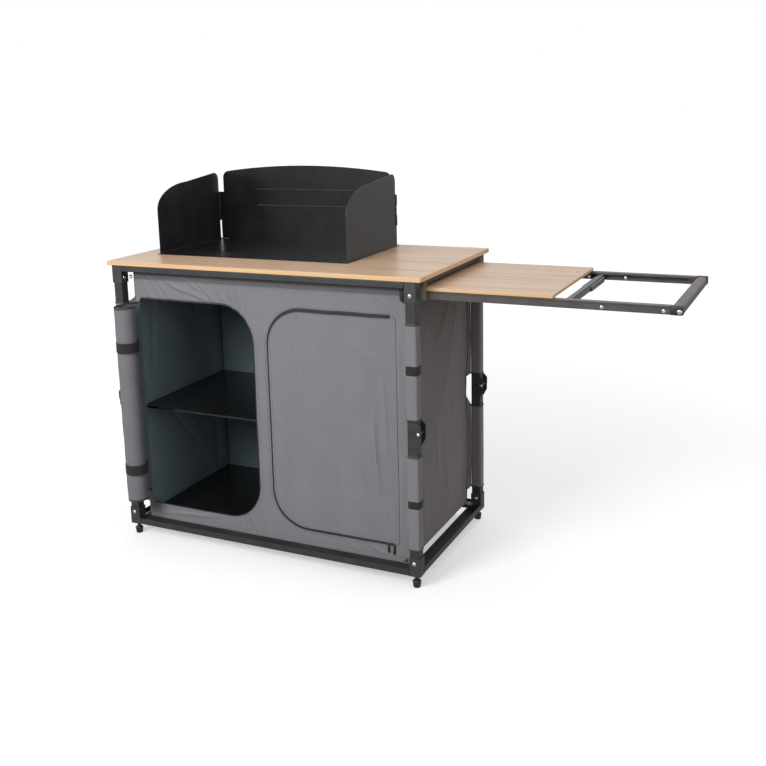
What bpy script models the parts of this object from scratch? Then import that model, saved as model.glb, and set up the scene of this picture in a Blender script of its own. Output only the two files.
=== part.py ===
"""Folding camp kitchen: a knee-legged frame with a cloth cupboard, a worktop,
a windscreen and a pull-out side table. Metres, +Z up, floor at Z = 0."""

import math

import bmesh
import bpy
from mathutils import Matrix, Vector

# Worktop board.
TOP_LENGTH = 0.960
TOP_DEPTH = 0.515
TOP_HEIGHT = 0.823
TOP_THICK = 0.012
TOP_CORNER_R = 0.004
BOARD_EDGE_R = 0.0012
TOP_OVERHANG_X = 0.0145
TOP_OVERHANG_Y = 0.0032

# Clearances.
SEAT_GAP = 0.0003
WELD = 0.000001
RUN_GAP = 0.0005
PIN_GAP = 0.0003
FOLD_CLEAR = 0.0018
KNEE_CLEAR = 0.0021

# Legs: two square tubes joined at a knee.
TUBE = 0.028
TUBE_WALL = 0.0015
TUBE_CORNER_R = 0.003
PIN_R = 0.003
PIN_HEAD_R = 0.0055
PIN_HEAD_T = 0.0014
LOW_PIVOT_Z = 0.070
TOP_PIVOT_DROP = 0.0347
EAR_T = 0.0018
EAR_BACK = 0.010
EAR_LOBE_R = 0.0065
LOW_EAR_LENGTH = 0.038
HIGH_EAR_LENGTH = 0.029
EAR_SHOULDER = 0.008
EAR_TAPER = 0.018
PAD_EMBED = 0.0008

# Cloth sleeves round the legs.
SLEEVE_T = 0.0016
SLEEVE_CORNER_R = 0.005
LOW_SLEEVE_ENDS = (0.035, 0.062)
HIGH_SLEEVE_ENDS = (0.032, 0.071)

# Corner brackets.
CORNER_WALL = 0.0018
CORNER_HEIGHT = 0.050
CORNER_FLOOR = 0.002
BASE_BOTTOM = 0.034
LUG_T = 0.0034
LUG_ARM = 0.026
LUG_REACH = 0.045
LUG_TAB = 0.013
LUG_STEP = 0.0006

# Frame rails.
BASE_RAIL_WIDTH = 0.032
TOP_RAIL_WIDTH = 0.020
RAIL_WALL = 0.0016
RAIL_CORNER_R = 0.0022
FLANGE_T = 0.0015
FLANGE_DROP = 0.0327
FLANGE_END_GAP = 0.002

# Feet.
FOOT_CAP_R = 0.0117
FOOT_SOLE_R = 0.0088
FOOT_NECK_R = 0.0055
FOOT_CAP_H = 0.0195
FOOT_BEVEL = 0.0025
FOOT_EDGE = 0.0008
FOOT_EDGE_H = 0.0012

# Cloth cupboard.
CLOTH_T = 0.0014
CLOTH_INSET_X = 0.0109
CLOTH_INSET_Y = 0.0097
BOX_FLOOR_RISE = 0.024
HEM_DROP = 0.012
CLOTH_TOP_DROP = 0.0207
SIDE_TOP_GAP = 0.0054
FLAP_END_IN = 0.010
FRONT_FOLD = 0.0026
SIDE_FOLD = 0.0045
BACK_FOLD = 0.0030
FRONT_LEFT_WAVES = (0.2094, 0.7854)
FRONT_RIGHT_WAVES = (0.1366, -2.0944)
BACK_WAVES = (0.2992, 1.2566)
LEFT_SIDE_WAVES = (0.2417, 1.0472)
RIGHT_SIDE_WAVES = (0.2417, -0.4488)
HEM_HOLD = 0.030
FRONT_FADE = 0.080
FRONT_LEFT_FADE = 0.050
FRONT_RIGHT_FADE = 0.060
RIGHT_DOOR_LEAD = 0.020
BACK_FADE_X = 0.080
BACK_FADE_Z = 0.100
SIDE_FADE_Y = 0.070
SIDE_FADE_Z = 0.120

# Doors in the cloth front.
DOOR_MIDDLE_X = -0.010
DOOR_POST = 0.044
DOOR_LEFT_MARGIN = 0.013
DOOR_RIGHT_MARGIN = 0.031
DOOR_SILL = 0.036
DOOR_HEAD_DROP = 0.0997
DOOR_ROUND_R = 0.105
DOOR_TIGHT_R = 0.010
DOOR_SEAM = 0.0005
DOOR_HINGE_GAP = 0.001
DOOR_REACH = 0.030

# Rolled-up left door and its two straps.
ROLL_INSET = 0.004
ROLL_OUT = 0.045
ROLL_R = 0.0315
ROLL_WAIST_R = 0.0300
ROLL_END_R = 0.0270
ROLL_RISE = 0.034
ROLL_TOP_DROP = 0.007
WAIST_RUN = 0.006
LOW_STRAP_RISE = 0.098
HIGH_STRAP_DROP = 0.118
STRAP_WIDTH = 0.030
STRAP_T = 0.0013
STRAP_TAIL_OFFSET = 0.0105

# Boards in the cupboard.
BOARD_T = 0.006
SHELF_DROP = 0.038

# Pull-out side table.
PULL_REACH = 0.605
PULL_RAIL_OVERLAP = 0.250
PULL_RAIL_INSET = 0.033
PULL_RAIL_W = 0.020
PULL_RAIL_H = 0.0195
PULL_RAIL_DROP = 0.0297
PULL_WALL = 0.002
PULL_WEB = 0.004
PULL_LIP = 0.0055
GROOVE_TOP = 0.0027
GROOVE_H = 0.003
GROOVE_D = 0.0022
RIVET_R = 0.0040
RIVET_T = 0.0012
NEAR_RIVETS = (0.179, 0.041)
FAR_RIVETS = (0.301, 0.204)
PANEL_UNDER = 0.040
PANEL_BACK = 0.293
PANEL_SIDE_GAP = 0.001
PANEL_T = 0.009
BAR_BACK = 0.2575
BAR_W = 0.019
BAR_H = 0.0105
BAR_END_GAP = 0.0012
BAR_SLEEVE_START = 0.020
BAR_SLEEVE_INSET = 0.040
BAR_SLEEVE_OUT = 0.003
BAR_SLEEVE_UP = 0.001
BAR_TOP_DROP = 0.010
HANDLE_W = 0.026
HANDLE_WALL = 0.003
HANDLE_R = 0.007
HANDLE_EDGE_R = 0.0005
PLUG_L = 0.020
PLUG_GAP = 0.0005

# Fixed guides that the side table slides in.
GUIDE_START_GAP = 0.004
GUIDE_END_GAP = 0.006
GUIDE_WALL = 0.0018
GUIDE_SIDE_GAP = 0.002
GUIDE_LIP_H = 0.005
GUIDE_FLANGE = 0.014
GUIDE_RIB_H = 0.0018
GUIDE_RIB_GAP = 0.0004
GUIDE_EAR_DROP = 0.0025

# Windscreen.
SCREEN_T = 0.0012
SCREEN_LEFT_MARGIN = 0.068
SCREEN_BACK_MARGIN = 0.0185
SCREEN_PLATE_L = 0.622
SCREEN_PLATE_D = 0.351
SCREEN_BACK_SET = 0.010
SCREEN_HEIGHT = 0.234
SCREEN_END_HEIGHT = 0.212
SCREEN_CORNER_R = 0.022
SCREEN_SLOT = 0.014
SCREEN_FOOT = 0.008
WING_LENGTH = 0.326
WING_FRONT_H = 0.128
WING_SHOULDER_H = 0.198
WING_HEIGHT = 0.2125
WING_BEND = 0.148
WING_LIFT = 0.002
HINGE_INSET = 0.004
HINGE_LEFT_SET = 0.0035
HINGE_STEP = 0.0035
HINGE_PIN_R = 0.0014
HINGE_R = 0.003
HINGE_BORE_R = 0.0016
HINGE_RISE = (0.061, 0.151)
HINGE_LEAF_OUT = 0.0015
HINGE_LEAF_IN = 0.0028
PRESSED_L = 0.340
PRESSED_RISE = (0.111, 0.161)
PRESSED_STEP = 0.001
PRESSED_EDGE = 0.0012

# Curve steps.
FOOT_STEPS = 16
PIN_STEPS = 12
ROLL_STEPS = 24
CORNER_STEPS = 3
ROUND_STEPS = 7
HANDLE_STEPS = 4
SCREEN_STEPS = 4
ARCH_STEPS = 12
FRONT_GRID = (28, 12)
BACK_GRID = (20, 10)
SIDE_COLUMNS = 14
FLAP_ROWS = 4

# Values that follow from the sizes above.
CORNER_HALF = TUBE / 2 + RUN_GAP + CORNER_WALL
LEG_X = TOP_LENGTH / 2 - TOP_OVERHANG_X - CORNER_HALF
LEG_Y = TOP_DEPTH / 2 - TOP_OVERHANG_Y - CORNER_HALF
OUT_X = LEG_X + CORNER_HALF
OUT_Y = LEG_Y + CORNER_HALF
FRAME_TOP_Z = TOP_HEIGHT - TOP_THICK - SEAT_GAP
TOP_PIVOT_Z = FRAME_TOP_Z - TOP_PIVOT_DROP
KNEE_Z = (LOW_PIVOT_Z + TOP_PIVOT_Z) / 2
SLEEVE_IN = TUBE / 2 + SEAT_GAP
SLEEVE_OUT = SLEEVE_IN + SLEEVE_T
KNEE_OFFSET = SLEEVE_OUT + KNEE_CLEAR
BASE_RAIL_TOP_Z = LOW_PIVOT_Z - SLEEVE_OUT - FOLD_CLEAR
TOP_RAIL_BOTTOM_Z = TOP_PIVOT_Z + SLEEVE_OUT + FOLD_CLEAR
LOW_EAR_OUT = TUBE / 2 + SEAT_GAP + EAR_T
HIGH_EAR_IN = LOW_EAR_OUT + SEAT_GAP
HIGH_EAR_OUT = HIGH_EAR_IN + EAR_T
LOW_SLEEVE_Z = (LOW_PIVOT_Z + LOW_SLEEVE_ENDS[0], KNEE_Z - LOW_SLEEVE_ENDS[1])
HIGH_SLEEVE_Z = (KNEE_Z + HIGH_SLEEVE_ENDS[0], TOP_PIVOT_Z - HIGH_SLEEVE_ENDS[1])
FLANGE_BOTTOM_Z = FRAME_TOP_Z - FLANGE_DROP
PULL_RAIL_Y = LEG_Y - PULL_RAIL_INSET
PULL_RAIL_TOP_Z = FRAME_TOP_Z - PULL_RAIL_DROP
PULL_RAIL_BOTTOM_Z = PULL_RAIL_TOP_Z - PULL_RAIL_H
GUIDE_BOTTOM_Z = PULL_RAIL_BOTTOM_Z - SEAT_GAP - GUIDE_WALL
CLOTH_X = LEG_X - CORNER_HALF - CLOTH_INSET_X
CLOTH_Y = LEG_Y - CORNER_HALF - CLOTH_INSET_Y
CLOTH_TOP_Z = FRAME_TOP_Z - CLOTH_TOP_DROP
SIDE_TOP_Z = GUIDE_BOTTOM_Z - SIDE_TOP_GAP
BOX_FLOOR_Z = BASE_BOTTOM + BOX_FLOOR_RISE
CLOTH_BOTTOM_Z = BOX_FLOOR_Z - HEM_DROP
CLOTH_FACE_X = CLOTH_X + CLOTH_T / 2
CLOTH_FACE_Y = CLOTH_Y + CLOTH_T / 2
BOARD_HALF_X = CLOTH_X - CLOTH_T / 2 - SEAT_GAP
BOARD_HALF_Y = CLOTH_Y - CLOTH_T / 2 - SEAT_GAP
SHELF_Z = KNEE_Z - SHELF_DROP
DOOR_LEFT_X = (-CLOTH_X + DOOR_LEFT_MARGIN, DOOR_MIDDLE_X - DOOR_POST / 2)
DOOR_RIGHT_X = (DOOR_MIDDLE_X + DOOR_POST / 2, CLOTH_X - DOOR_RIGHT_MARGIN)
DOOR_Z = (BOX_FLOOR_Z + DOOR_SILL, FRAME_TOP_Z - DOOR_HEAD_DROP)
ROLL_X = DOOR_LEFT_X[0] + ROLL_INSET
ROLL_Y = -LEG_Y - ROLL_OUT
ROLL_Z = (DOOR_Z[0] + ROLL_RISE, DOOR_Z[1] - ROLL_TOP_DROP)
STRAP_Z = (ROLL_Z[0] + LOW_STRAP_RISE, ROLL_Z[1] - HIGH_STRAP_DROP)
STRAP_TAIL_X = ROLL_X - STRAP_TAIL_OFFSET
PULL_RAIL_X0 = TOP_LENGTH / 2 - PULL_RAIL_OVERLAP
PULL_END_X = TOP_LENGTH / 2 + PULL_REACH
PULL_RAIL_X1 = PULL_END_X - HANDLE_W
NEAR_RIVETS_X = [PULL_END_X - back for back in NEAR_RIVETS]
FAR_RIVETS_X = [PULL_END_X - back for back in FAR_RIVETS]
PANEL_X = (TOP_LENGTH / 2 - PANEL_UNDER, PULL_END_X - PANEL_BACK)
PANEL_Y = PULL_RAIL_Y - PANEL_SIDE_GAP
BAR_X = (PULL_END_X - BAR_BACK - BAR_W, PULL_END_X - BAR_BACK)
BAR_SLEEVE_Y = (BAR_SLEEVE_START, PULL_RAIL_Y - BAR_SLEEVE_INSET)
GUIDE_X0 = -CLOTH_X + GUIDE_START_GAP
GUIDE_X1 = TOP_LENGTH / 2 - GUIDE_END_GAP
STRAP_IN_R = ROLL_WAIST_R + SEAT_GAP
STRAP_OUT_R = STRAP_IN_R + STRAP_T
SCREEN_BASE_Z = TOP_HEIGHT + SEAT_GAP
SCREEN_BACK_Z = SCREEN_BASE_Z + SCREEN_T + SEAT_GAP
SCREEN_LEFT_X = -TOP_LENGTH / 2 + SCREEN_LEFT_MARGIN
SCREEN_PLATE_X = (SCREEN_LEFT_X, SCREEN_LEFT_X + SCREEN_PLATE_L)
SCREEN_REAR_Y = TOP_DEPTH / 2 - SCREEN_BACK_MARGIN
SCREEN_PLATE_Y = (SCREEN_REAR_Y - SCREEN_PLATE_D, SCREEN_REAR_Y)
SCREEN_BACK_Y = SCREEN_REAR_Y - SCREEN_BACK_SET
SCREEN_MID_X = SCREEN_LEFT_X + SCREEN_PLATE_L / 2
HINGE_LEFT_X = SCREEN_PLATE_X[0] + HINGE_INSET
HINGE_RIGHT_X = SCREEN_PLATE_X[1] - HINGE_INSET
HINGE_Z = [TOP_HEIGHT + rise for rise in HINGE_RISE]
PRESSED_X = (SCREEN_MID_X - PRESSED_L / 2, SCREEN_MID_X + PRESSED_L / 2)
PRESSED_Z = [TOP_HEIGHT + rise for rise in PRESSED_RISE]
ROLL_FRONT = -ROLL_Y + STRAP_OUT_R
SHIFT = Vector((-PULL_REACH / 2, (ROLL_FRONT - TOP_DEPTH / 2) / 2, 0.0))

CORNERS = {
    "fl": (-1, -1, math.radians(-90.0)),
    "fr": (1, -1, 0.0),
    "bl": (-1, 1, math.radians(180.0)),
    "br": (1, 1, 0.0),
}

for stale in list(bpy.data.objects):
    bpy.data.objects.remove(stale)

KITCHEN = bpy.data.collections.new("camp_kitchen")
bpy.context.scene.collection.children.link(KITCHEN)


def material(name, colour, roughness, metallic):
    """A plain surface colour with its own roughness and metal share."""
    made = bpy.data.materials.new(name)
    made.use_nodes = True
    shader = made.node_tree.nodes["Principled BSDF"]
    shader.inputs["Base Color"].default_value = (*colour, 1.0)
    shader.inputs["Roughness"].default_value = roughness
    shader.inputs["Metallic"].default_value = metallic
    made.diffuse_color = (*colour, 1.0)
    return made


def arc(centre_a, centre_b, radius, start, end, steps):
    """Points along a circular arc, angles in degrees."""
    points = []
    for index in range(steps + 1):
        angle = math.radians(start + (end - start) * index / steps)
        points.append((centre_a + radius * math.cos(angle), centre_b + radius * math.sin(angle)))
    return points


def rounded(a0, a1, b0, b1, radii, steps):
    """A rectangle with four corner radii, in the order low-low, high-low, high-high, low-high."""
    r0, r1, r2, r3 = radii
    points = arc(a0 + r0, b0 + r0, r0, 180, 270, steps)
    points += arc(a1 - r1, b0 + r1, r1, 270, 360, steps)
    points += arc(a1 - r2, b1 - r2, r2, 0, 90, steps)
    points += arc(a0 + r3, b1 - r3, r3, 90, 180, steps)
    return points


def rectangle(a0, a1, b0, b1):
    """A rectangle as four corner points."""
    return [(a0, b0), (a1, b0), (a1, b1), (a0, b1)]


PLANES = {
    "XY": Matrix(((1, 0, 0, 0), (0, 1, 0, 0), (0, 0, 1, 0), (0, 0, 0, 1))),
    "XZ": Matrix(((1, 0, 0, 0), (0, 0, -1, 0), (0, 1, 0, 0), (0, 0, 0, 1))),
    "YZ": Matrix(((0, 0, 1, 0), (1, 0, 0, 0), (0, 1, 0, 0), (0, 0, 0, 1))),
}
NORMALS = {
    "XY": Vector((0, 0, 1)),
    "XZ": Vector((0, 1, 0)),
    "YZ": Vector((1, 0, 0)),
}


def tidy(mesh):
    """Weld coincident points and turn every face outwards."""
    work = bmesh.new()
    work.from_mesh(mesh)
    bmesh.ops.remove_doubles(work, verts=work.verts, dist=WELD)
    bmesh.ops.recalc_face_normals(work, faces=work.faces)
    work.to_mesh(mesh)
    work.free()
    return mesh


def prism(outlines, plane, low, high):
    """Extrude filled outlines square to their plane, from low to high."""
    curve = bpy.data.curves.new("outline", "CURVE")
    curve.dimensions = "2D"
    curve.fill_mode = "BOTH"
    curve.extrude = (high - low) / 2
    for outline in outlines:
        spline = curve.splines.new("POLY")
        spline.points.add(len(outline) - 1)
        for point, pair in zip(spline.points, outline):
            point.co = (pair[0], pair[1], 0.0, 1.0)
        spline.use_cyclic_u = True
    holder = bpy.data.objects.new("outline", curve)
    KITCHEN.objects.link(holder)
    mesh = bpy.data.meshes.new_from_object(holder)
    bpy.data.objects.remove(holder)
    bpy.data.curves.remove(curve)
    mesh.transform(PLANES[plane])
    mesh.transform(Matrix.Translation(NORMALS[plane] * (low + high) / 2))
    return tidy(mesh)


def box(x0, x1, y0, y1, z0, z1):
    """A plain block."""
    work = bmesh.new()
    bmesh.ops.create_cube(work, size=1.0)
    size = Matrix.Diagonal((x1 - x0, y1 - y0, z1 - z0, 1.0))
    place = Matrix.Translation(((x0 + x1) / 2, (y0 + y1) / 2, (z0 + z1) / 2))
    bmesh.ops.transform(work, matrix=place @ size, verts=work.verts)
    mesh = bpy.data.meshes.new("block")
    work.to_mesh(mesh)
    work.free()
    return mesh


def rod(centre, axis, radius, low, high, steps):
    """A round bar along X, Y or Z between two positions on that axis."""
    work = bmesh.new()
    bmesh.ops.create_cone(
        work, cap_ends=True, segments=steps, radius1=radius, radius2=radius, depth=high - low
    )
    turn = Vector((0, 0, 1)).rotation_difference(axis).to_matrix().to_4x4()
    place = Matrix.Translation(centre + axis * (low + high) / 2)
    bmesh.ops.transform(work, matrix=place @ turn, verts=work.verts)
    mesh = bpy.data.meshes.new("rod")
    work.to_mesh(mesh)
    work.free()
    return mesh


def combine(base, tool, operation):
    """Join, cut or keep the common part of two closed meshes."""
    first = bpy.data.objects.new("base", base)
    second = bpy.data.objects.new("tool", tool)
    KITCHEN.objects.link(first)
    KITCHEN.objects.link(second)
    step = first.modifiers.new("step", "BOOLEAN")
    step.operation = operation
    step.solver = "EXACT"
    step.object = second
    bpy.context.view_layer.update()
    graph = bpy.context.evaluated_depsgraph_get()
    result = bpy.data.meshes.new_from_object(first.evaluated_get(graph))
    for used, data in ((first, base), (second, tool)):
        bpy.data.objects.remove(used)
        bpy.data.meshes.remove(data)
    return tidy(result)


def join(*meshes):
    """Join closed meshes into one body."""
    result = meshes[0]
    for other in meshes[1:]:
        result = combine(result, other, "UNION")
    return result


def cut(base, *tools):
    """Take each tool away from the base."""
    for tool in tools:
        base = combine(base, tool, "DIFFERENCE")
    return base


def soften(mesh, width, limit=60.0):
    """Ease the sharp edges with a small single bevel."""
    work = bmesh.new()
    work.from_mesh(mesh)
    bmesh.ops.dissolve_limit(
        work, angle_limit=math.radians(1.0), verts=work.verts, edges=work.edges
    )
    sharp = [
        edge for edge in work.edges
        if len(edge.link_faces) == 2 and edge.calc_face_angle() > math.radians(limit)
    ]
    bmesh.ops.bevel(work, geom=sharp, offset=width, segments=1, profile=0.5, affect="EDGES")
    work.to_mesh(mesh)
    work.free()
    return mesh


def lathe(profile, centre, steps):
    """Turn a profile, given from top to bottom at +X, about the vertical through the centre."""
    work = bmesh.new()
    points = [work.verts.new((radius, 0.0, height)) for radius, height in profile]
    for index in range(len(points) - 1):
        work.edges.new((points[index], points[index + 1]))
    line = bpy.data.meshes.new("profile")
    work.to_mesh(line)
    work.free()
    holder = bpy.data.objects.new("profile", line)
    KITCHEN.objects.link(holder)
    turn = holder.modifiers.new("turn", "SCREW")
    turn.axis = "Z"
    turn.angle = 2 * math.pi
    turn.steps = steps
    turn.render_steps = steps
    turn.use_merge_vertices = True
    turn.merge_threshold = WELD
    turn.use_smooth_shade = True
    bpy.context.view_layer.update()
    graph = bpy.context.evaluated_depsgraph_get()
    mesh = bpy.data.meshes.new_from_object(holder.evaluated_get(graph))
    bpy.data.objects.remove(holder)
    bpy.data.meshes.remove(line)
    mesh.transform(Matrix.Translation(centre))
    return tidy(mesh)


def place(name, mesh, origin, surface, turn=0.0, smooth=False):
    """Add a named piece: its mesh is given in cabinet positions, its origin becomes the pivot."""
    mesh.transform(Matrix.Translation(-Vector(origin)))
    mesh.name = name
    mesh.materials.clear()
    mesh.materials.append(surface)
    if smooth:
        mesh.shade_smooth()
    piece = bpy.data.objects.new(name, mesh)
    piece.location = Vector(origin) + SHIFT
    piece.rotation_euler = (0.0, 0.0, turn)
    KITCHEN.objects.link(piece)
    return piece


FRAME_METAL = material("frame_metal", (0.045, 0.048, 0.050), 0.45, 0.6)
CORNER_METAL = material("corner_metal", (0.040, 0.043, 0.045), 0.5, 0.4)
FOOT_PLASTIC = material("foot_plastic", (0.012, 0.012, 0.012), 0.6, 0.0)
WORKTOP_WOOD = material("worktop_wood", (0.62, 0.45, 0.30), 0.45, 0.0)
PANEL_WOOD = material("panel_wood", (0.63, 0.46, 0.31), 0.45, 0.0)
CLOTH_GREY = material("cloth_grey", (0.20, 0.20, 0.21), 0.9, 0.0)
SLEEVE_GREY = material("sleeve_grey", (0.25, 0.24, 0.25), 0.9, 0.0)
STRAP_BLACK = material("strap_black", (0.015, 0.015, 0.016), 0.85, 0.0)
SHELF_BLACK = material("shelf_black", (0.010, 0.010, 0.011), 0.15, 0.0)
SCREEN_BLACK = material("screen_black", (0.020, 0.020, 0.022), 0.4, 0.3)
SLIDE_METAL = material("slide_metal", (0.055, 0.052, 0.050), 0.4, 0.7)
GUIDE_METAL = material("guide_metal", (0.42, 0.38, 0.35), 0.35, 0.9)
PULL_PLASTIC = material("pull_plastic", (0.025, 0.025, 0.025), 0.5, 0.0)

Y_AXIS = Vector((0, 1, 0))
Z_AXIS = Vector((0, 0, 1))


def riveted_pin(centre, half_span):
    """A rivet along Y with a low head on each side."""
    shank = rod(centre, Y_AXIS, PIN_R, -half_span - PIN_HEAD_T / 2, half_span + PIN_HEAD_T / 2, PIN_STEPS)
    front = rod(centre, Y_AXIS, PIN_HEAD_R, -half_span - PIN_HEAD_T, -half_span, PIN_STEPS)
    back = rod(centre, Y_AXIS, PIN_HEAD_R, half_span, half_span + PIN_HEAD_T, PIN_STEPS)
    return join(shank, front, back)


# Legs. Each half is drawn upright on its own axes: +X is the outer side, the pins lie along Y.
def leg_tube(round_z, knee_z):
    """Square tube with one end rounded about its pivot and the knee end open."""
    half = TUBE / 2
    out = 1 if round_z > knee_z else -1
    low = min(round_z + out * half, knee_z)
    high = max(round_z + out * half, knee_z)
    bar = prism([rounded(-half, half, -half, half, (TUBE_CORNER_R,) * 4, CORNER_STEPS)], "XY", low, high)
    start = 0 if out > 0 else 180
    side = [(half, knee_z), (-half, knee_z)] if out < 0 else [(-half, knee_z), (half, knee_z)]
    end = arc(0.0, round_z, half, start, start + 180, ROUND_STEPS * 2)
    bar = combine(bar, prism([side + end], "XZ", -half * 2, half * 2), "INTERSECT")
    inner = half - TUBE_WALL
    over = knee_z - out * TUBE_WALL
    core_side = [(inner, over), (-inner, over)] if out < 0 else [(-inner, over), (inner, over)]
    core_end = arc(0.0, round_z, inner, start, start + 180, ROUND_STEPS * 2)
    return cut(bar, prism([core_side + core_end], "XZ", -inner, inner))


def ear_pair(outline, pad_z, low_y, high_y):
    """Two knee plates, one on each side of the tube, with the pads that hold them."""
    pads_x = (-EAR_BACK + EAR_T / 2, EAR_BACK)
    pieces = []
    for side in (-1, 1):
        edges = sorted((side * low_y, side * high_y))
        pieces.append(prism([outline], "XZ", edges[0], edges[1]))
        pad = sorted((side * (TUBE / 2 - PAD_EMBED), side * (low_y + EAR_T / 2)))
        pieces.append(box(pads_x[0], pads_x[1], pad[0], pad[1], pad_z[0], pad_z[1]))
    return pieces


def low_leg():
    """Lower leg, with the inner knee plates."""
    lobe = arc(KNEE_OFFSET, KNEE_Z, EAR_LOBE_R, 0, 180, ROUND_STEPS)
    tip = KNEE_OFFSET + EAR_LOBE_R
    foot_z = KNEE_Z - LOW_EAR_LENGTH
    outline = [(-EAR_BACK, foot_z), (TUBE / 2, foot_z), (tip, KNEE_Z - EAR_TAPER)] + lobe
    outline.append((-EAR_BACK, KNEE_Z - EAR_SHOULDER))
    pads = (foot_z + EAR_T, KNEE_Z - EAR_SHOULDER - EAR_T)
    ears = ear_pair(outline, pads, TUBE / 2 + SEAT_GAP, LOW_EAR_OUT)
    leg = join(leg_tube(LOW_PIVOT_Z, KNEE_Z - SEAT_GAP / 2), *ears)
    span = CORNER_HALF * 2
    low_hole = rod(Vector((0, 0, LOW_PIVOT_Z)), Y_AXIS, PIN_R + PIN_GAP, -span, span, PIN_STEPS)
    knee_hole = rod(Vector((KNEE_OFFSET, 0, KNEE_Z)), Y_AXIS, PIN_R + PIN_GAP, -span, span, PIN_STEPS)
    return cut(leg, low_hole, knee_hole)


def high_leg():
    """Upper leg, with the outer knee plates and the knee rivet."""
    lobe = arc(KNEE_OFFSET, KNEE_Z, EAR_LOBE_R, 180, 360, ROUND_STEPS)
    tip = KNEE_OFFSET + EAR_LOBE_R
    head_z = KNEE_Z + HIGH_EAR_LENGTH
    outline = [(-EAR_BACK, head_z), (-EAR_BACK, KNEE_Z + EAR_SHOULDER)] + lobe
    outline += [(tip, KNEE_Z + EAR_TAPER), (TUBE / 2, head_z)]
    pads = (KNEE_Z + EAR_SHOULDER + EAR_T, head_z - EAR_T)
    ears = ear_pair(outline, pads, HIGH_EAR_IN, HIGH_EAR_OUT)
    leg = join(leg_tube(TOP_PIVOT_Z, KNEE_Z + SEAT_GAP / 2), *ears)
    span = CORNER_HALF * 2
    hole = rod(Vector((0, 0, TOP_PIVOT_Z)), Y_AXIS, PIN_R + PIN_GAP, -span, span, PIN_STEPS)
    leg = cut(leg, hole)
    return join(leg, riveted_pin(Vector((KNEE_OFFSET, 0, KNEE_Z)), HIGH_EAR_OUT))


def sleeve(span):
    """Cloth sleeve round a leg tube."""
    outer = rounded(-SLEEVE_OUT, SLEEVE_OUT, -SLEEVE_OUT, SLEEVE_OUT, (SLEEVE_CORNER_R,) * 4, CORNER_STEPS)
    inner_r = SLEEVE_CORNER_R - SLEEVE_T
    inner = rounded(-SLEEVE_IN, SLEEVE_IN, -SLEEVE_IN, SLEEVE_IN, (inner_r,) * 4, CORNER_STEPS)
    return prism([outer, inner], "XY", span[0], span[1])


def shell(floor_z, lip_z):
    """Corner bracket body on a leg's own axes: open towards the knee's swing."""
    half = CORNER_HALF
    cavity = half - CORNER_WALL
    upright = floor_z < lip_z
    low, high = sorted((floor_z, lip_z))
    body = prism([rounded(-half, half, -half, half, (TUBE_CORNER_R,) * 4, CORNER_STEPS)], "XY", low, high)
    over = CORNER_WALL
    inside = (floor_z + CORNER_FLOOR, lip_z + over) if upright else (lip_z - over, floor_z - CORNER_FLOOR)
    sill = BASE_RAIL_TOP_Z if upright else TOP_RAIL_BOTTOM_Z
    window = (sill, lip_z + over) if upright else (lip_z - over, sill)
    hollow = box(-cavity, cavity, -cavity, cavity, inside[0], inside[1])
    mouth = box(-half - over, 0.0, -cavity, cavity, window[0], window[1])
    body = cut(body, hollow, mouth)
    pivot = LOW_PIVOT_Z if upright else TOP_PIVOT_Z
    return join(body, riveted_pin(Vector((0, 0, pivot)), half))


def lug_outline(from_side):
    """Plan of the lug under a corner of the cloth box, clear of the swing of the leg."""
    face_x = LEG_X - CORNER_HALF
    face_y = LEG_Y - CORNER_HALF
    near_x = face_x - LUG_STEP
    near_y = face_y - LUG_STEP
    clear_x = CLOTH_X + CLOTH_T
    clear_y = CLOTH_Y - CLOTH_T * 2
    far_x = face_x - LUG_REACH
    far_y = face_y - LUG_ARM
    points = [(far_x, clear_y), (far_x, far_y)]
    if from_side:
        bite = face_x + CORNER_WALL / 2
        points += [
            (near_x, far_y), (near_x, face_y + LUG_STEP), (bite, face_y + LUG_STEP),
            (bite, face_y + LUG_TAB), (clear_x, face_y + LUG_TAB),
        ]
    else:
        bite = face_y + CORNER_WALL / 2
        points += [
            (face_x + LUG_TAB, far_y), (face_x + LUG_TAB, bite), (face_x + LUG_STEP, bite),
            (face_x + LUG_STEP, near_y), (clear_x, near_y),
        ]
    points.append((clear_x, clear_y))
    return points


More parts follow.
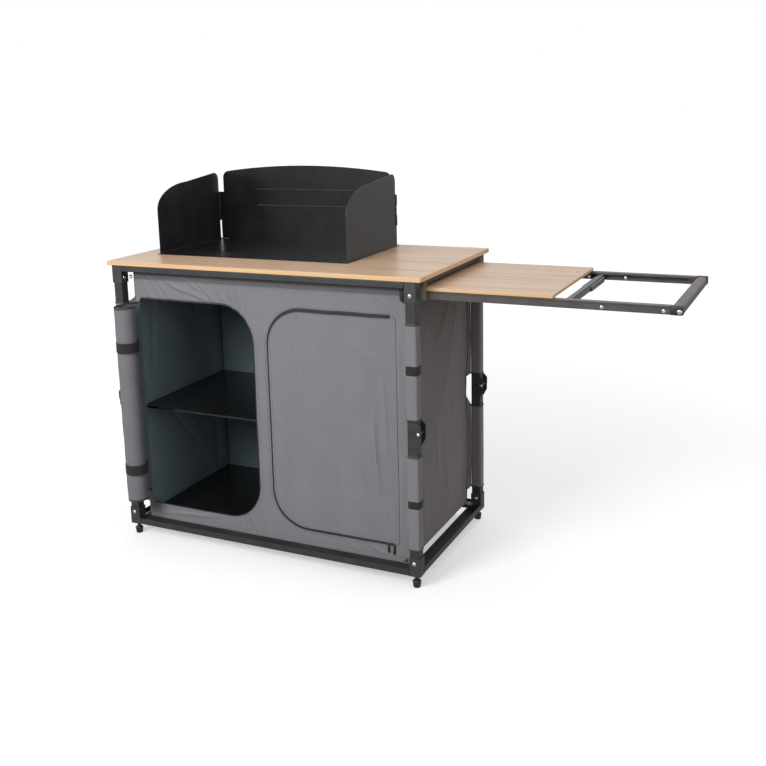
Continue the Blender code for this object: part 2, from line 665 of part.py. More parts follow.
for key, (side_x, side_y, turn) in CORNERS.items():
    stand = Vector((side_x * LEG_X, side_y * LEG_Y, 0.0))
    knee_turn = Matrix.Rotation(turn, 4, "Z")
    low_pivot = stand + Z_AXIS * LOW_PIVOT_Z
    knee = stand + knee_turn @ Vector((KNEE_OFFSET, 0.0, KNEE_Z))
    to_stand = Matrix.Translation(stand)

    leg = low_leg()
    leg.transform(to_stand)
    place("leg_lower_" + key, leg, low_pivot, FRAME_METAL, turn)
    leg = high_leg()
    leg.transform(Matrix.Translation(knee - Vector((KNEE_OFFSET, 0.0, KNEE_Z))))
    place("leg_upper_" + key, leg, knee, FRAME_METAL, turn)

    cloth = sleeve(LOW_SLEEVE_Z)
    cloth.transform(to_stand)
    place("sleeve_lower_" + key, cloth, low_pivot, SLEEVE_GREY, turn)
    cloth = sleeve(HIGH_SLEEVE_Z)
    cloth.transform(Matrix.Translation(knee - Vector((KNEE_OFFSET, 0.0, KNEE_Z))))
    place("sleeve_upper_" + key, cloth, knee, SLEEVE_GREY, turn)

    bracket = shell(BASE_BOTTOM, BASE_BOTTOM + CORNER_HEIGHT)
    bracket.transform(to_stand @ knee_turn)
    lug_top = BOX_FLOOR_Z - SEAT_GAP
    lug = [(side_x * a, side_y * b) for a, b in lug_outline(key == "fl")]
    bracket = join(bracket, prism([lug], "XY", lug_top - LUG_T, lug_top))
    place("base_corner_" + key, bracket, stand + Z_AXIS * BASE_BOTTOM, CORNER_METAL)

    bracket = shell(FRAME_TOP_Z, FRAME_TOP_Z - CORNER_HEIGHT)
    bracket.transform(to_stand @ knee_turn)
    place("top_corner_" + key, bracket, stand + Z_AXIS * FRAME_TOP_Z, CORNER_METAL)

    neck_z = BASE_BOTTOM - SEAT_GAP
    foot = lathe(
        [
            (0.0, neck_z),
            (FOOT_NECK_R, neck_z),
            (FOOT_NECK_R, FOOT_CAP_H),
            (FOOT_CAP_R - FOOT_BEVEL, FOOT_CAP_H),
            (FOOT_CAP_R, FOOT_CAP_H - FOOT_BEVEL),
            (FOOT_SOLE_R + FOOT_EDGE, FOOT_EDGE_H),
            (FOOT_SOLE_R, 0.0),
            (0.0, 0.0),
        ],
        stand, FOOT_STEPS,
    )
    place("foot_" + key, foot, stand, FOOT_PLASTIC, smooth=True)


# Frame rails between the corner brackets.
def channel_section(outer, sign):
    """Outline of a base rail: a channel open upwards; sign points outwards."""
    wall = RAIL_WALL
    inner = outer - BASE_RAIL_WIDTH
    low = BASE_BOTTOM
    high = BASE_RAIL_TOP_Z
    soft = RAIL_CORNER_R
    points = [(inner, high)] + arc(inner + soft, low + soft, soft, 180, 270, CORNER_STEPS)
    points += arc(outer - soft, low + soft, soft, 270, 360, CORNER_STEPS)
    points += [
        (outer, high), (outer - wall, high), (outer - wall, low + wall),
        (inner + wall, low + wall), (inner + wall, high),
    ]
    return [[(sign * a, b) for a, b in points]]


def tube_section(outer, sign):
    """Outline and bore of a top rail; sign points outwards."""
    a0, a1 = sorted((sign * outer, sign * (outer - TOP_RAIL_WIDTH)))
    low = TOP_RAIL_BOTTOM_Z
    high = FRAME_TOP_Z
    wall = RAIL_WALL
    return [
        rounded(a0, a1, low, high, (RAIL_CORNER_R,) * 4, CORNER_STEPS),
        rectangle(a0 + wall, a1 - wall, low + wall, high - wall),
    ]


def flange_section(outer, sign, face):
    """Web that hangs inside a top rail and holds the cloth's upper edge."""
    points = [
        (outer - TOP_RAIL_WIDTH + FLANGE_T / 2, FRAME_TOP_Z - FLANGE_T),
        (face + FLANGE_T, FRAME_TOP_Z - FLANGE_T),
        (face + FLANGE_T, FLANGE_BOTTOM_Z),
        (face, FLANGE_BOTTOM_Z),
        (face, FRAME_TOP_Z),
        (outer - TOP_RAIL_WIDTH + FLANGE_T / 2, FRAME_TOP_Z),
    ]
    return [[(sign * a, b) for a, b in points]]


long_half = LEG_X - CORNER_HALF - SEAT_GAP
short_half = LEG_Y - CORNER_HALF - SEAT_GAP
flange_x = CLOTH_X - FLANGE_END_GAP
flange_y = CLOTH_Y - FLANGE_END_GAP
for name, side in (("front", -1), ("back", 1)):
    bar = prism(channel_section(OUT_Y, side), "YZ", -long_half, long_half)
    place("base_rail_" + name, bar, (0, side * OUT_Y, BASE_BOTTOM), FRAME_METAL)
    bar = prism(tube_section(OUT_Y, side), "YZ", -long_half, long_half)
    web = prism(flange_section(OUT_Y, side, CLOTH_FACE_Y + SEAT_GAP), "YZ", -flange_x, flange_x)
    place("top_rail_" + name, join(bar, web), (0, side * OUT_Y, FRAME_TOP_Z), FRAME_METAL)
for name, side in (("left", -1), ("right", 1)):
    bar = prism(channel_section(OUT_X, side), "XZ", -short_half, short_half)
    place("base_rail_" + name, bar, (side * OUT_X, 0, BASE_BOTTOM), FRAME_METAL)
    bar = prism(tube_section(OUT_X, side), "XZ", -short_half, short_half)
    if side < 0:
        web = prism(flange_section(OUT_X, side, CLOTH_FACE_X + SEAT_GAP), "XZ", -flange_y, flange_y)
        bar = join(bar, web)
    place("top_rail_" + name, bar, (side * OUT_X, 0, FRAME_TOP_Z), FRAME_METAL)

# Worktop and the two boards of the cupboard.
half_l = TOP_LENGTH / 2
half_d = TOP_DEPTH / 2
board = prism(
    [rounded(-half_l, half_l, -half_d, half_d, (TOP_CORNER_R,) * 4, CORNER_STEPS)],
    "XY", TOP_HEIGHT - TOP_THICK, TOP_HEIGHT,
)
place("worktop", soften(board, BOARD_EDGE_R), (0, 0, TOP_HEIGHT - TOP_THICK), WORKTOP_WOOD)
board_outline = rounded(
    -BOARD_HALF_X, BOARD_HALF_X, -BOARD_HALF_Y, BOARD_HALF_Y, (TOP_CORNER_R,) * 4, CORNER_STEPS
)
for name, low in (("base_board", BOX_FLOOR_Z), ("shelf", SHELF_Z)):
    board = prism([board_outline], "XY", low, low + BOARD_T)
    place(name, board, (0, 0, low), SHELF_BLACK)


# Cloth of the cupboard. Each panel is a grid with its main folds, then given its thickness.
def sheet(columns, rows, point, skip=None):
    """Grid of points as a closed sheet: point gives a position, skip names open cells."""
    work = bmesh.new()
    bmesh.ops.create_grid(work, x_segments=len(columns) - 1, y_segments=len(rows) - 1, size=0.5)
    width = len(columns) - 1
    height = len(rows) - 1
    open_cells = []
    for face in work.faces:
        middle = face.calc_center_median()
        across = int((middle.x + 0.5) * width)
        up = int((middle.y + 0.5) * height)
        if skip and skip(columns[across], columns[across + 1], rows[up], rows[up + 1]):
            open_cells.append(face)
    bmesh.ops.delete(work, geom=open_cells, context="FACES")
    for vert in work.verts:
        across = round((vert.co.x + 0.5) * width)
        up = round((vert.co.y + 0.5) * height)
        vert.co = point(columns[across], rows[up])
    mesh = bpy.data.meshes.new("sheet")
    work.to_mesh(mesh)
    work.free()
    holder = bpy.data.objects.new("sheet", mesh)
    KITCHEN.objects.link(holder)
    thick = holder.modifiers.new("thickness", "SOLIDIFY")
    thick.thickness = CLOTH_T
    thick.offset = 0.0
    thick.use_even_offset = True
    bpy.context.view_layer.update()
    graph = bpy.context.evaluated_depsgraph_get()
    result = bpy.data.meshes.new_from_object(holder.evaluated_get(graph))
    bpy.data.objects.remove(holder)
    bpy.data.meshes.remove(mesh)
    return tidy(result)


def spread(low, high, count):
    """Evenly spaced values, both ends included."""
    return [low + (high - low) * index / count for index in range(count + 1)]


def fade(value, low, high, edge):
    """0 at both ends of a span and 1 inside it, with soft edges."""
    near = min(value - low, high - value) / edge
    near = max(0.0, min(1.0, near))
    return near * near * (3 - 2 * near)


def wave(across, up, lengths):
    """Soft fold, 0 to 1, that repeats over one length across and another up."""
    return 0.5 + 0.5 * math.cos(2 * math.pi * (across / lengths[0] + up / lengths[1]))


def front_fold(x, z):
    """How far the front panel swells forwards."""
    hold = fade(z, DOOR_Z[0] - HEM_HOLD, FLANGE_BOTTOM_Z, FRONT_FADE)
    left = fade(x, DOOR_LEFT_X[0] + ROLL_R, DOOR_RIGHT_X[0], FRONT_LEFT_FADE)
    left *= wave(x, z, FRONT_LEFT_WAVES)
    right = fade(x, DOOR_RIGHT_X[0] - RIGHT_DOOR_LEAD, CLOTH_X - FRONT_RIGHT_FADE, FRONT_RIGHT_FADE)
    right *= wave(x, z, FRONT_RIGHT_WAVES)
    return FRONT_FOLD * hold * max(left, right)


front_half = CLOTH_X - CLOTH_T / 2 - SEAT_GAP
front_mesh = sheet(
    spread(-front_half, front_half, FRONT_GRID[0]),
    spread(CLOTH_BOTTOM_Z, FLANGE_BOTTOM_Z, FRONT_GRID[1]) + [CLOTH_TOP_Z],
    lambda x, z: Vector((x, -CLOTH_Y - front_fold(x, z), z)),
)


def door_outline(span, grow, round_left):
    """Outline of a door: widely rounded on its free side, tight on its sewn side."""
    wide = DOOR_ROUND_R + grow
    tight = DOOR_TIGHT_R + grow
    radii = (wide, tight, tight, wide) if round_left else (tight, wide, wide, tight)
    return rounded(span[0], span[1], DOOR_Z[0] - grow, DOOR_Z[1] + grow, radii, ROUND_STEPS)


reach = (-CLOTH_Y - DOOR_REACH, -CLOTH_Y + DOOR_REACH)
door_mesh = combine(
    front_mesh.copy(), prism([door_outline(DOOR_RIGHT_X, 0.0, True)], "XZ", *reach), "INTERSECT"
)
right_span = (DOOR_RIGHT_X[0] - DOOR_SEAM, DOOR_RIGHT_X[1] + DOOR_HINGE_GAP * 2)
front_mesh = cut(
    front_mesh,
    prism([door_outline(DOOR_LEFT_X, 0.0, False)], "XZ", *reach),
    prism([door_outline(right_span, DOOR_SEAM, True)], "XZ", *reach),
)
place("cloth_front", front_mesh, (0, -CLOTH_Y, CLOTH_BOTTOM_Z), CLOTH_GREY)
hinge_line = (DOOR_RIGHT_X[1] + DOOR_HINGE_GAP, -CLOTH_Y, DOOR_Z[0])
place("door_right", door_mesh, hinge_line, CLOTH_GREY)


def back_fold(x, z):
    """How far the back panel swells backwards."""
    hold = fade(z, CLOTH_BOTTOM_Z, FLANGE_BOTTOM_Z, BACK_FADE_Z)
    hold *= fade(x, -CLOTH_X, CLOTH_X, BACK_FADE_X)
    return BACK_FOLD * hold * wave(x, z, BACK_WAVES)


back_mesh = sheet(
    spread(-front_half, front_half, BACK_GRID[0]),
    spread(CLOTH_BOTTOM_Z, FLANGE_BOTTOM_Z, BACK_GRID[1]) + [CLOTH_TOP_Z],
    lambda x, z: Vector((x, CLOTH_Y + back_fold(x, z), z)),
)
place("cloth_back", back_mesh, (0, CLOTH_Y, CLOTH_BOTTOM_Z), CLOTH_GREY)

# Side panels run from one leg sleeve, round the box corner, along the side and back to a sleeve.
corner_y = CLOTH_Y + CLOTH_T
flap_x = LEG_X - SLEEVE_OUT - SEAT_GAP - CLOTH_T / 2
flap_y = LEG_Y - FLAP_END_IN


def side_point(side, lengths):
    """Position on a side panel: s is the run along it, the flaps start past the corner."""
    def point(s, z):
        run = abs(s) - corner_y
        if run > WELD:
            share = run / (flap_y - corner_y)
            x = CLOTH_X + (flap_x - CLOTH_X) * share
            return Vector((side * x, math.copysign(abs(s), s), z))
        hold = fade(s, -corner_y, corner_y, SIDE_FADE_Y)
        hold *= fade(z, BOX_FLOOR_Z, FLANGE_BOTTOM_Z, SIDE_FADE_Z)
        return Vector((side * (CLOTH_X + SIDE_FOLD * hold * wave(s, z, lengths)), s, z))
    return point


def open_flap(s0, s1, z0, z1):
    """The flaps stop at the knee, above the sleeve and below it."""
    if abs(s0 + s1) / 2 < corner_y:
        return False
    middle = (z0 + z1) / 2
    low = LOW_SLEEVE_Z[0] < middle < LOW_SLEEVE_Z[1]
    high = HIGH_SLEEVE_Z[0] < middle < HIGH_SLEEVE_Z[1]
    return not (low or high)


runs = [-flap_y] + spread(-corner_y, corner_y, SIDE_COLUMNS) + [flap_y]
side_panels = (
    ("left", -1, CLOTH_TOP_Z, LEFT_SIDE_WAVES),
    ("right", 1, SIDE_TOP_Z, RIGHT_SIDE_WAVES),
)
for name, side, top, lengths in side_panels:
    levels = [BOX_FLOOR_Z]
    levels += spread(LOW_SLEEVE_Z[0], LOW_SLEEVE_Z[1], FLAP_ROWS)
    levels += spread(HIGH_SLEEVE_Z[0], HIGH_SLEEVE_Z[1], FLAP_ROWS)
    if top > FLANGE_BOTTOM_Z:
        levels.append(FLANGE_BOTTOM_Z)
    levels.append(top)
    panel = sheet(runs, levels, side_point(side, lengths), open_flap)
    place("cloth_" + name, panel, (side * CLOTH_X, 0, BOX_FLOOR_Z), CLOTH_GREY)

# Rolled-up left door, held by two straps.
waist = []
for strap_z in sorted(STRAP_Z, reverse=True):
    top_z = strap_z + STRAP_WIDTH / 2
    low_z = strap_z - STRAP_WIDTH / 2
    ease = ROLL_R - ROLL_WAIST_R
    waist += [
        (ROLL_R, top_z + WAIST_RUN), (ROLL_WAIST_R, top_z + ease),
        (ROLL_WAIST_R, low_z - ease), (ROLL_R, low_z - WAIST_RUN),
    ]
end_ease = ROLL_R - ROLL_END_R
roll_profile = [(0.0, ROLL_Z[1]), (ROLL_END_R, ROLL_Z[1]), (ROLL_R, ROLL_Z[1] - end_ease)]
roll_profile += waist
roll_profile += [(ROLL_R, ROLL_Z[0] + end_ease), (ROLL_END_R, ROLL_Z[0]), (0.0, ROLL_Z[0])]
roll_centre = Vector((ROLL_X, ROLL_Y, 0.0))
place(
    "door_left_rolled", lathe(roll_profile, roll_centre, ROLL_STEPS),
    (ROLL_X, ROLL_Y, ROLL_Z[0]), CLOTH_GREY, smooth=True,
)
for name, strap_z in zip(("lower", "upper"), STRAP_Z):
    low_z = strap_z - STRAP_WIDTH / 2
    high_z = strap_z + STRAP_WIDTH / 2
    outer = arc(ROLL_X, ROLL_Y, STRAP_OUT_R, 0, 360, ROLL_STEPS)[:-1]
    inner = arc(ROLL_X, ROLL_Y, STRAP_IN_R, 0, 360, ROLL_STEPS)[:-1]
    ring = prism([outer, inner], "XY", low_z, high_z)
    offset = STRAP_TAIL_X - ROLL_X
    start_y = ROLL_Y + math.sqrt(((STRAP_IN_R + STRAP_OUT_R) / 2) ** 2 - offset ** 2)
    tail = box(
        STRAP_TAIL_X - STRAP_T / 2, STRAP_TAIL_X + STRAP_T / 2,
        start_y, -CLOTH_FACE_Y - SEAT_GAP, low_z, high_z,
    )
    place("door_strap_" + name, join(ring, tail), (ROLL_X, ROLL_Y, strap_z), STRAP_BLACK)

# Pull-out side table: two slotted rails, a panel, a cross bar and a handle bar.
def pull_rail_section(sign):
    """Channel open towards the middle, with a guide groove in its outer face."""
    low = PULL_RAIL_BOTTOM_Z
    high = PULL_RAIL_TOP_Z
    wide = PULL_RAIL_W
    lip = wide - PULL_WALL
    points = [
        (0, low), (wide, low), (wide, low + PULL_LIP), (lip, low + PULL_LIP),
        (lip, low + PULL_WALL), (PULL_WEB, low + PULL_WALL), (PULL_WEB, high - PULL_WALL),
        (lip, high - PULL_WALL), (lip, high - PULL_LIP), (wide, high - PULL_LIP), (wide, high),
        (0, high), (0, high - GROOVE_TOP), (GROOVE_D, high - GROOVE_TOP),
        (GROOVE_D, high - GROOVE_TOP - GROOVE_H), (0, high - GROOVE_TOP - GROOVE_H),
    ]
    return [[(sign * (PULL_RAIL_Y - d), z) for d, z in points]]


rivet_z = (PULL_RAIL_BOTTOM_Z + PULL_RAIL_TOP_Z - GROOVE_TOP - GROOVE_H) / 2
bar = prism(pull_rail_section(-1), "YZ", PULL_RAIL_X0, PULL_RAIL_X1 - SEAT_GAP)
for x in NEAR_RIVETS_X:
    head = rod(
        Vector((x, 0, rivet_z)), Y_AXIS, RIVET_R,
        -PULL_RAIL_Y - RIVET_T, -PULL_RAIL_Y + RIVET_T / 2, PIN_STEPS,
    )
    bar = join(bar, head)
place("pull_rail_front", bar, (PULL_RAIL_X0, -PULL_RAIL_Y, PULL_RAIL_BOTTOM_Z), SLIDE_METAL)
bar = prism(pull_rail_section(1), "YZ", PULL_RAIL_X0, PULL_RAIL_X1 - SEAT_GAP)
for x in FAR_RIVETS_X:
    head = rod(
        Vector((x, 0, rivet_z)), Y_AXIS, RIVET_R,
        PULL_RAIL_Y - PULL_WEB - RIVET_T, PULL_RAIL_Y - PULL_WEB + RIVET_T / 2, PIN_STEPS,
    )
    bar = join(bar, head)
place("pull_rail_back", bar, (PULL_RAIL_X0, PULL_RAIL_Y, PULL_RAIL_BOTTOM_Z), SLIDE_METAL)

panel = prism(
    [rounded(PANEL_X[0], PANEL_X[1], -PANEL_Y, PANEL_Y, (TOP_CORNER_R / 2,) * 4, CORNER_STEPS)],
    "XY", PULL_RAIL_TOP_Z + SEAT_GAP, PULL_RAIL_TOP_Z + SEAT_GAP + PANEL_T,
)
place(
    "pull_panel", soften(panel, BOARD_EDGE_R),
    (PANEL_X[0], 0, PULL_RAIL_TOP_Z + SEAT_GAP), PANEL_WOOD,
)

bar_half = PULL_RAIL_Y - PULL_RAIL_W - GUIDE_WALL - BAR_END_GAP
bar_top = PULL_RAIL_TOP_Z - BAR_TOP_DROP
tongue_half = PULL_RAIL_Y - PULL_WEB - SEAT_GAP
tongue_low = PULL_RAIL_BOTTOM_Z + PULL_LIP + RUN_GAP
tongue_high = PULL_RAIL_TOP_Z - PULL_LIP - RUN_GAP
cross = join(
    box(BAR_X[0], BAR_X[1], -bar_half, bar_half, bar_top - BAR_H, bar_top),
    box(
        BAR_X[0] - BAR_SLEEVE_OUT, BAR_X[1] + BAR_SLEEVE_OUT, BAR_SLEEVE_Y[0], BAR_SLEEVE_Y[1],
        bar_top - BAR_H - BAR_SLEEVE_UP, bar_top + BAR_SLEEVE_UP,
    ),
    box(
        BAR_X[0] + BAR_SLEEVE_OUT, BAR_X[1] - BAR_SLEEVE_OUT, -tongue_half, tongue_half,
        tongue_low, tongue_high,
    ),
)
place("pull_cross_bar", cross, (BAR_X[0], 0, bar_top), PULL_PLASTIC)

handle_x0 = PULL_END_X - HANDLE_W
handle_low = PULL_RAIL_BOTTOM_Z
handle_top = PULL_RAIL_TOP_Z
outer = rounded(
    handle_x0, PULL_END_X, handle_low, handle_top,
    (HANDLE_EDGE_R, HANDLE_EDGE_R, HANDLE_R, HANDLE_R), HANDLE_STEPS,
)
inner_r = HANDLE_R - HANDLE_WALL
core = rounded(
    handle_x0 + HANDLE_WALL, PULL_END_X - HANDLE_WALL,
    handle_low - HANDLE_WALL, handle_top - HANDLE_WALL,
    (HANDLE_EDGE_R, HANDLE_EDGE_R, inner_r, inner_r), HANDLE_STEPS,
)
handle = prism([outer], "XZ", -PULL_RAIL_Y, PULL_RAIL_Y)
handle = cut(handle, prism([core], "XZ", -PULL_RAIL_Y - HANDLE_WALL, PULL_RAIL_Y + HANDLE_WALL))
for side in (-1, 1):
    outside = PULL_RAIL_Y - PULL_WEB - PLUG_GAP
    inside = PULL_RAIL_Y - PULL_RAIL_W + PULL_WALL + PLUG_GAP
    ys = sorted((side * outside, side * inside))
    plug = box(
        handle_x0 - PLUG_L, handle_x0 + HANDLE_WALL / 2, ys[0], ys[1],
        PULL_RAIL_BOTTOM_Z + PULL_WALL + PLUG_GAP, PULL_RAIL_TOP_Z - PULL_WALL - PLUG_GAP,
    )
    handle = join(handle, plug)
place("pull_handle_bar", handle, (handle_x0, 0, handle_top), PULL_PLASTIC)


# Fixed guides under the worktop: a ledge below each rail and a rib in its groove.
def guide_section(sign, top_z, flange):
    """Outline of a guide; the flange under the worktop is left out where it has no room."""
    rail_out = PULL_RAIL_Y
    face = rail_out + GUIDE_SIDE_GAP
    back = face + GUIDE_WALL
    ledge = PULL_RAIL_BOTTOM_Z - SEAT_GAP
    lip_out = rail_out - PULL_RAIL_W - SEAT_GAP
    lip_in = lip_out - GUIDE_WALL
    rib_mid = PULL_RAIL_TOP_Z - GROOVE_TOP - GROOVE_H / 2
    rib_in = rail_out - GROOVE_D + GUIDE_RIB_GAP
    points = [
        (back, ledge - GUIDE_WALL), (lip_in, ledge - GUIDE_WALL), (lip_in, ledge + GUIDE_LIP_H),
        (lip_out, ledge + GUIDE_LIP_H), (lip_out, ledge), (face, ledge),
        (face, rib_mid - GUIDE_RIB_H / 2), (rib_in, rib_mid - GUIDE_RIB_H / 2),
        (rib_in, rib_mid + GUIDE_RIB_H / 2), (face, rib_mid + GUIDE_RIB_H / 2),
    ]
    if flange:
        points += [
            (face, top_z - GUIDE_WALL), (face - GUIDE_FLANGE, top_z - GUIDE_WALL),
            (face - GUIDE_FLANGE, top_z), (back, top_z),
        ]
    else:
        points += [(face, top_z), (back, top_z)]
    return [[(sign * d, z) for d, z in points]]


rail_in_x = OUT_X - TOP_RAIL_WIDTH - SEAT_GAP
rail_out_x = OUT_X + SEAT_GAP
under_rail_z = TOP_RAIL_BOTTOM_Z - SEAT_GAP
for name, side in (("front", -1), ("back", 1)):
    guide = prism(guide_section(side, FRAME_TOP_Z, True), "YZ", GUIDE_X0, GUIDE_X1)
    notch = box(
        rail_in_x, rail_out_x, -half_d, half_d, under_rail_z, TOP_HEIGHT,
    )
    guide = cut(guide, notch)
    ys = sorted((side * (PULL_RAIL_Y + GUIDE_SIDE_GAP), 0.0))
    guide = cut(guide, box(
        rail_out_x - SEAT_GAP, GUIDE_X1 + SEAT_GAP, ys[0], ys[1],
        under_rail_z - GUIDE_EAR_DROP, TOP_HEIGHT,
    ))
    place("pull_guide_" + name, guide, (GUIDE_X0, side * PULL_RAIL_Y, FRAME_TOP_Z), GUIDE_METAL)

# Windscreen: base plate, back with an arched top, and two hinged wings.
plate = prism(
    [rounded(*SCREEN_PLATE_X, *SCREEN_PLATE_Y, (TOP_CORNER_R,) * 4, CORNER_STEPS)],
    "XY", SCREEN_BASE_Z, SCREEN_BASE_Z + SCREEN_T,
)
place("screen_plate", plate, (SCREEN_PLATE_X[0], SCREEN_PLATE_Y[0], SCREEN_BASE_Z), SCREEN_BLACK)

back_x0 = HINGE_LEFT_X + SCREEN_T
back_x1 = HINGE_RIGHT_X - SCREEN_T
slot_x0 = back_x0 + SCREEN_SLOT
slot_x1 = back_x1 - SCREEN_SLOT
mid_x = SCREEN_MID_X
span = (back_x1 - back_x0) / 2
rise = SCREEN_HEIGHT - SCREEN_END_HEIGHT
arch = []
for index in range(ARCH_STEPS + 1):
    x = (slot_x1 - SCREEN_CORNER_R) + (slot_x0 - slot_x1 + 2 * SCREEN_CORNER_R) * index / ARCH_STEPS
    arch.append((x, SCREEN_BASE_Z + SCREEN_HEIGHT - rise * ((x - mid_x) / span) ** 2))
end_z = arch[0][1]
round_z = end_z - SCREEN_CORNER_R
right_round = arc(slot_x1 - SCREEN_CORNER_R, round_z, SCREEN_CORNER_R, 0, 90, SCREEN_STEPS)[:-1]
left_round = arc(slot_x0 + SCREEN_CORNER_R, round_z, SCREEN_CORNER_R, 90, 180, SCREEN_STEPS)[1:]
outline = [
    (back_x0, SCREEN_BACK_Z), (back_x1, SCREEN_BACK_Z),
    (back_x1, HINGE_Z[1]), (slot_x1, HINGE_Z[1]),
]
outline += right_round + arch + left_round + [(slot_x0, HINGE_Z[1]), (back_x0, HINGE_Z[1])]
back_low = SCREEN_BACK_Y - SCREEN_T / 2
back_high = SCREEN_BACK_Y + SCREEN_T / 2
screen = prism([outline], "XZ", back_low, back_high)
screen = join(
    screen,
    box(
        back_x0 + SCREEN_CORNER_R, back_x1 - SCREEN_CORNER_R,
        SCREEN_BACK_Y, back_high + SCREEN_FOOT, SCREEN_BACK_Z, SCREEN_BACK_Z + SCREEN_T,
    ),
    box(*PRESSED_X, SCREEN_BACK_Y, back_high + PRESSED_STEP, *PRESSED_Z),
)
screen = cut(screen, box(
    PRESSED_X[0] + PRESSED_EDGE, PRESSED_X[1] - PRESSED_EDGE,
    back_low - SCREEN_T, back_low + PRESSED_STEP,
    PRESSED_Z[0] + PRESSED_EDGE, PRESSED_Z[1] - PRESSED_EDGE,
))

hinge_third = (HINGE_Z[1] - HINGE_Z[0]) / 3
knuckle_low = HINGE_Z[0] + hinge_third
knuckle_high = HINGE_Z[1] - hinge_third
hinges = {
    "left": (HINGE_LEFT_X, SCREEN_BACK_Y - HINGE_LEFT_SET, 1),
    "right": (HINGE_RIGHT_X, SCREEN_BACK_Y - HINGE_LEFT_SET - HINGE_STEP, -1),
}
for hinge_x, hinge_y, inward in hinges.values():
    axis = Vector((hinge_x, hinge_y, 0))
    leaf_x = sorted((hinge_x - inward * HINGE_LEAF_OUT, hinge_x + inward * HINGE_LEAF_IN))
    screen = join(screen, rod(axis, Z_AXIS, HINGE_PIN_R, *HINGE_Z, PIN_STEPS))
    for low, high in ((HINGE_Z[0], knuckle_low), (knuckle_high, HINGE_Z[1])):
        screen = join(
            screen,
            rod(axis, Z_AXIS, HINGE_R, low, high, PIN_STEPS),
            box(leaf_x[0], leaf_x[1], hinge_y + HINGE_BORE_R, SCREEN_BACK_Y, low, high),
        )
place("screen_back", screen, (mid_x, SCREEN_BACK_Y, SCREEN_BACK_Z), SCREEN_BLACK)

wing_low = SCREEN_BASE_Z + SCREEN_T + WING_LIFT
for name, (hinge_x, hinge_y, inward) in hinges.items():
    rear = hinge_y - HINGE_R - RUN_GAP
    front = hinge_y - WING_LENGTH
    crown = SCREEN_BASE_Z + WING_HEIGHT
    shoulder = SCREEN_BASE_Z + WING_SHOULDER_H
    brow = SCREEN_BASE_Z + WING_FRONT_H
    curve = []
    for index in range(ARCH_STEPS + 1):
        angle = math.radians(90.0 * index / ARCH_STEPS)
        curve.append((
            front + WING_BEND * (1 - math.cos(angle)),
            brow + (shoulder - brow) * math.sin(angle),
        ))
    tail = arc(
        rear - SCREEN_CORNER_R, crown - SCREEN_CORNER_R, SCREEN_CORNER_R, 90, 0, SCREEN_STEPS
    )
    outline = [(rear, wing_low), (front, wing_low)] + curve + tail
    half_t = SCREEN_T / 2
    wing = prism([outline], "YZ", hinge_x - half_t, hinge_x + half_t)
    low = knuckle_low + SEAT_GAP
    high = knuckle_high - SEAT_GAP
    tube = rod(Vector((hinge_x, hinge_y, 0)), Z_AXIS, HINGE_R, low, high, PIN_STEPS)
    tab = box(hinge_x - half_t, hinge_x + half_t, rear - SCREEN_T, hinge_y - HINGE_PIN_R, low, high)
    wing = join(wing, tab, tube)
    bore = rod(
        Vector((hinge_x, hinge_y, 0)), Z_AXIS, HINGE_BORE_R, low - SCREEN_T, high + SCREEN_T, PIN_STEPS,
    )
    place("screen_wing_" + name, cut(wing, bore), (hinge_x, hinge_y, wing_low), SCREEN_BLACK)
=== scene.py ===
# %% [markdown]
# A camp kitchen unit: a steel frame that folds, a bamboo worktop with a windscreen and a
# side table that pulls out, and a cloth cupboard below. The rigid parts come from the packed
# CAD model. This script gives them their finishes and makes everything that is cloth.

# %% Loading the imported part
import math

import bmesh
import bpy
from mathutils import Matrix, Vector, noise


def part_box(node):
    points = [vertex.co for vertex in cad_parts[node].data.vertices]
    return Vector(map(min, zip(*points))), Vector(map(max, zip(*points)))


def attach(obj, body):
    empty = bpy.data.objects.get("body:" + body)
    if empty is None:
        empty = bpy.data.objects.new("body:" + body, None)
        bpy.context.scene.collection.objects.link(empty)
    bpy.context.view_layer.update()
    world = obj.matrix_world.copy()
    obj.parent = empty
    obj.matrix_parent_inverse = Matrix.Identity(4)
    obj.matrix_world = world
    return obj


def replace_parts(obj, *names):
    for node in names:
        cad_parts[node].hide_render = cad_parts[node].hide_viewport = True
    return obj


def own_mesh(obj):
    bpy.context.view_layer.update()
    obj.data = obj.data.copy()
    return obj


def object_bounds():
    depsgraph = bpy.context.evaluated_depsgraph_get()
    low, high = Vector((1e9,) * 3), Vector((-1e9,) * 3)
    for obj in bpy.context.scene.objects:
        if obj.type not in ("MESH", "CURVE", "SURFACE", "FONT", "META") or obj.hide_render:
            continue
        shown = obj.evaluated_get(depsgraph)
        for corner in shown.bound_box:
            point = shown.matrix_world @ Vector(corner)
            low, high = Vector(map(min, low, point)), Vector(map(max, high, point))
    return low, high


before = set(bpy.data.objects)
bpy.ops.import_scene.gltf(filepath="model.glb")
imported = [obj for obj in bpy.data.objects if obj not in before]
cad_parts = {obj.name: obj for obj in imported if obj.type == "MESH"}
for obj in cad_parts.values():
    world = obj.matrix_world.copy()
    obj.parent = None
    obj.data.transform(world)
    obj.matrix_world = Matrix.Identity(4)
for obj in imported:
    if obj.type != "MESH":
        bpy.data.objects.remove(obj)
cad_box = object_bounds()

# %% [markdown]
# All lengths are in metres. The worktop's middle is the natural origin of the real object, so
# the pieces are worked out from there, and each one is moved by CENTRE when it is finished.

# %% The worktop's middle
low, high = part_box("worktop")
CENTRE = Vector(((low.x + high.x) / 2, (low.y + high.y) / 2, 0.0))
print("worktop:", [round(v, 4) for v in high - low], "centre:", [round(v, 4) for v in CENTRE])

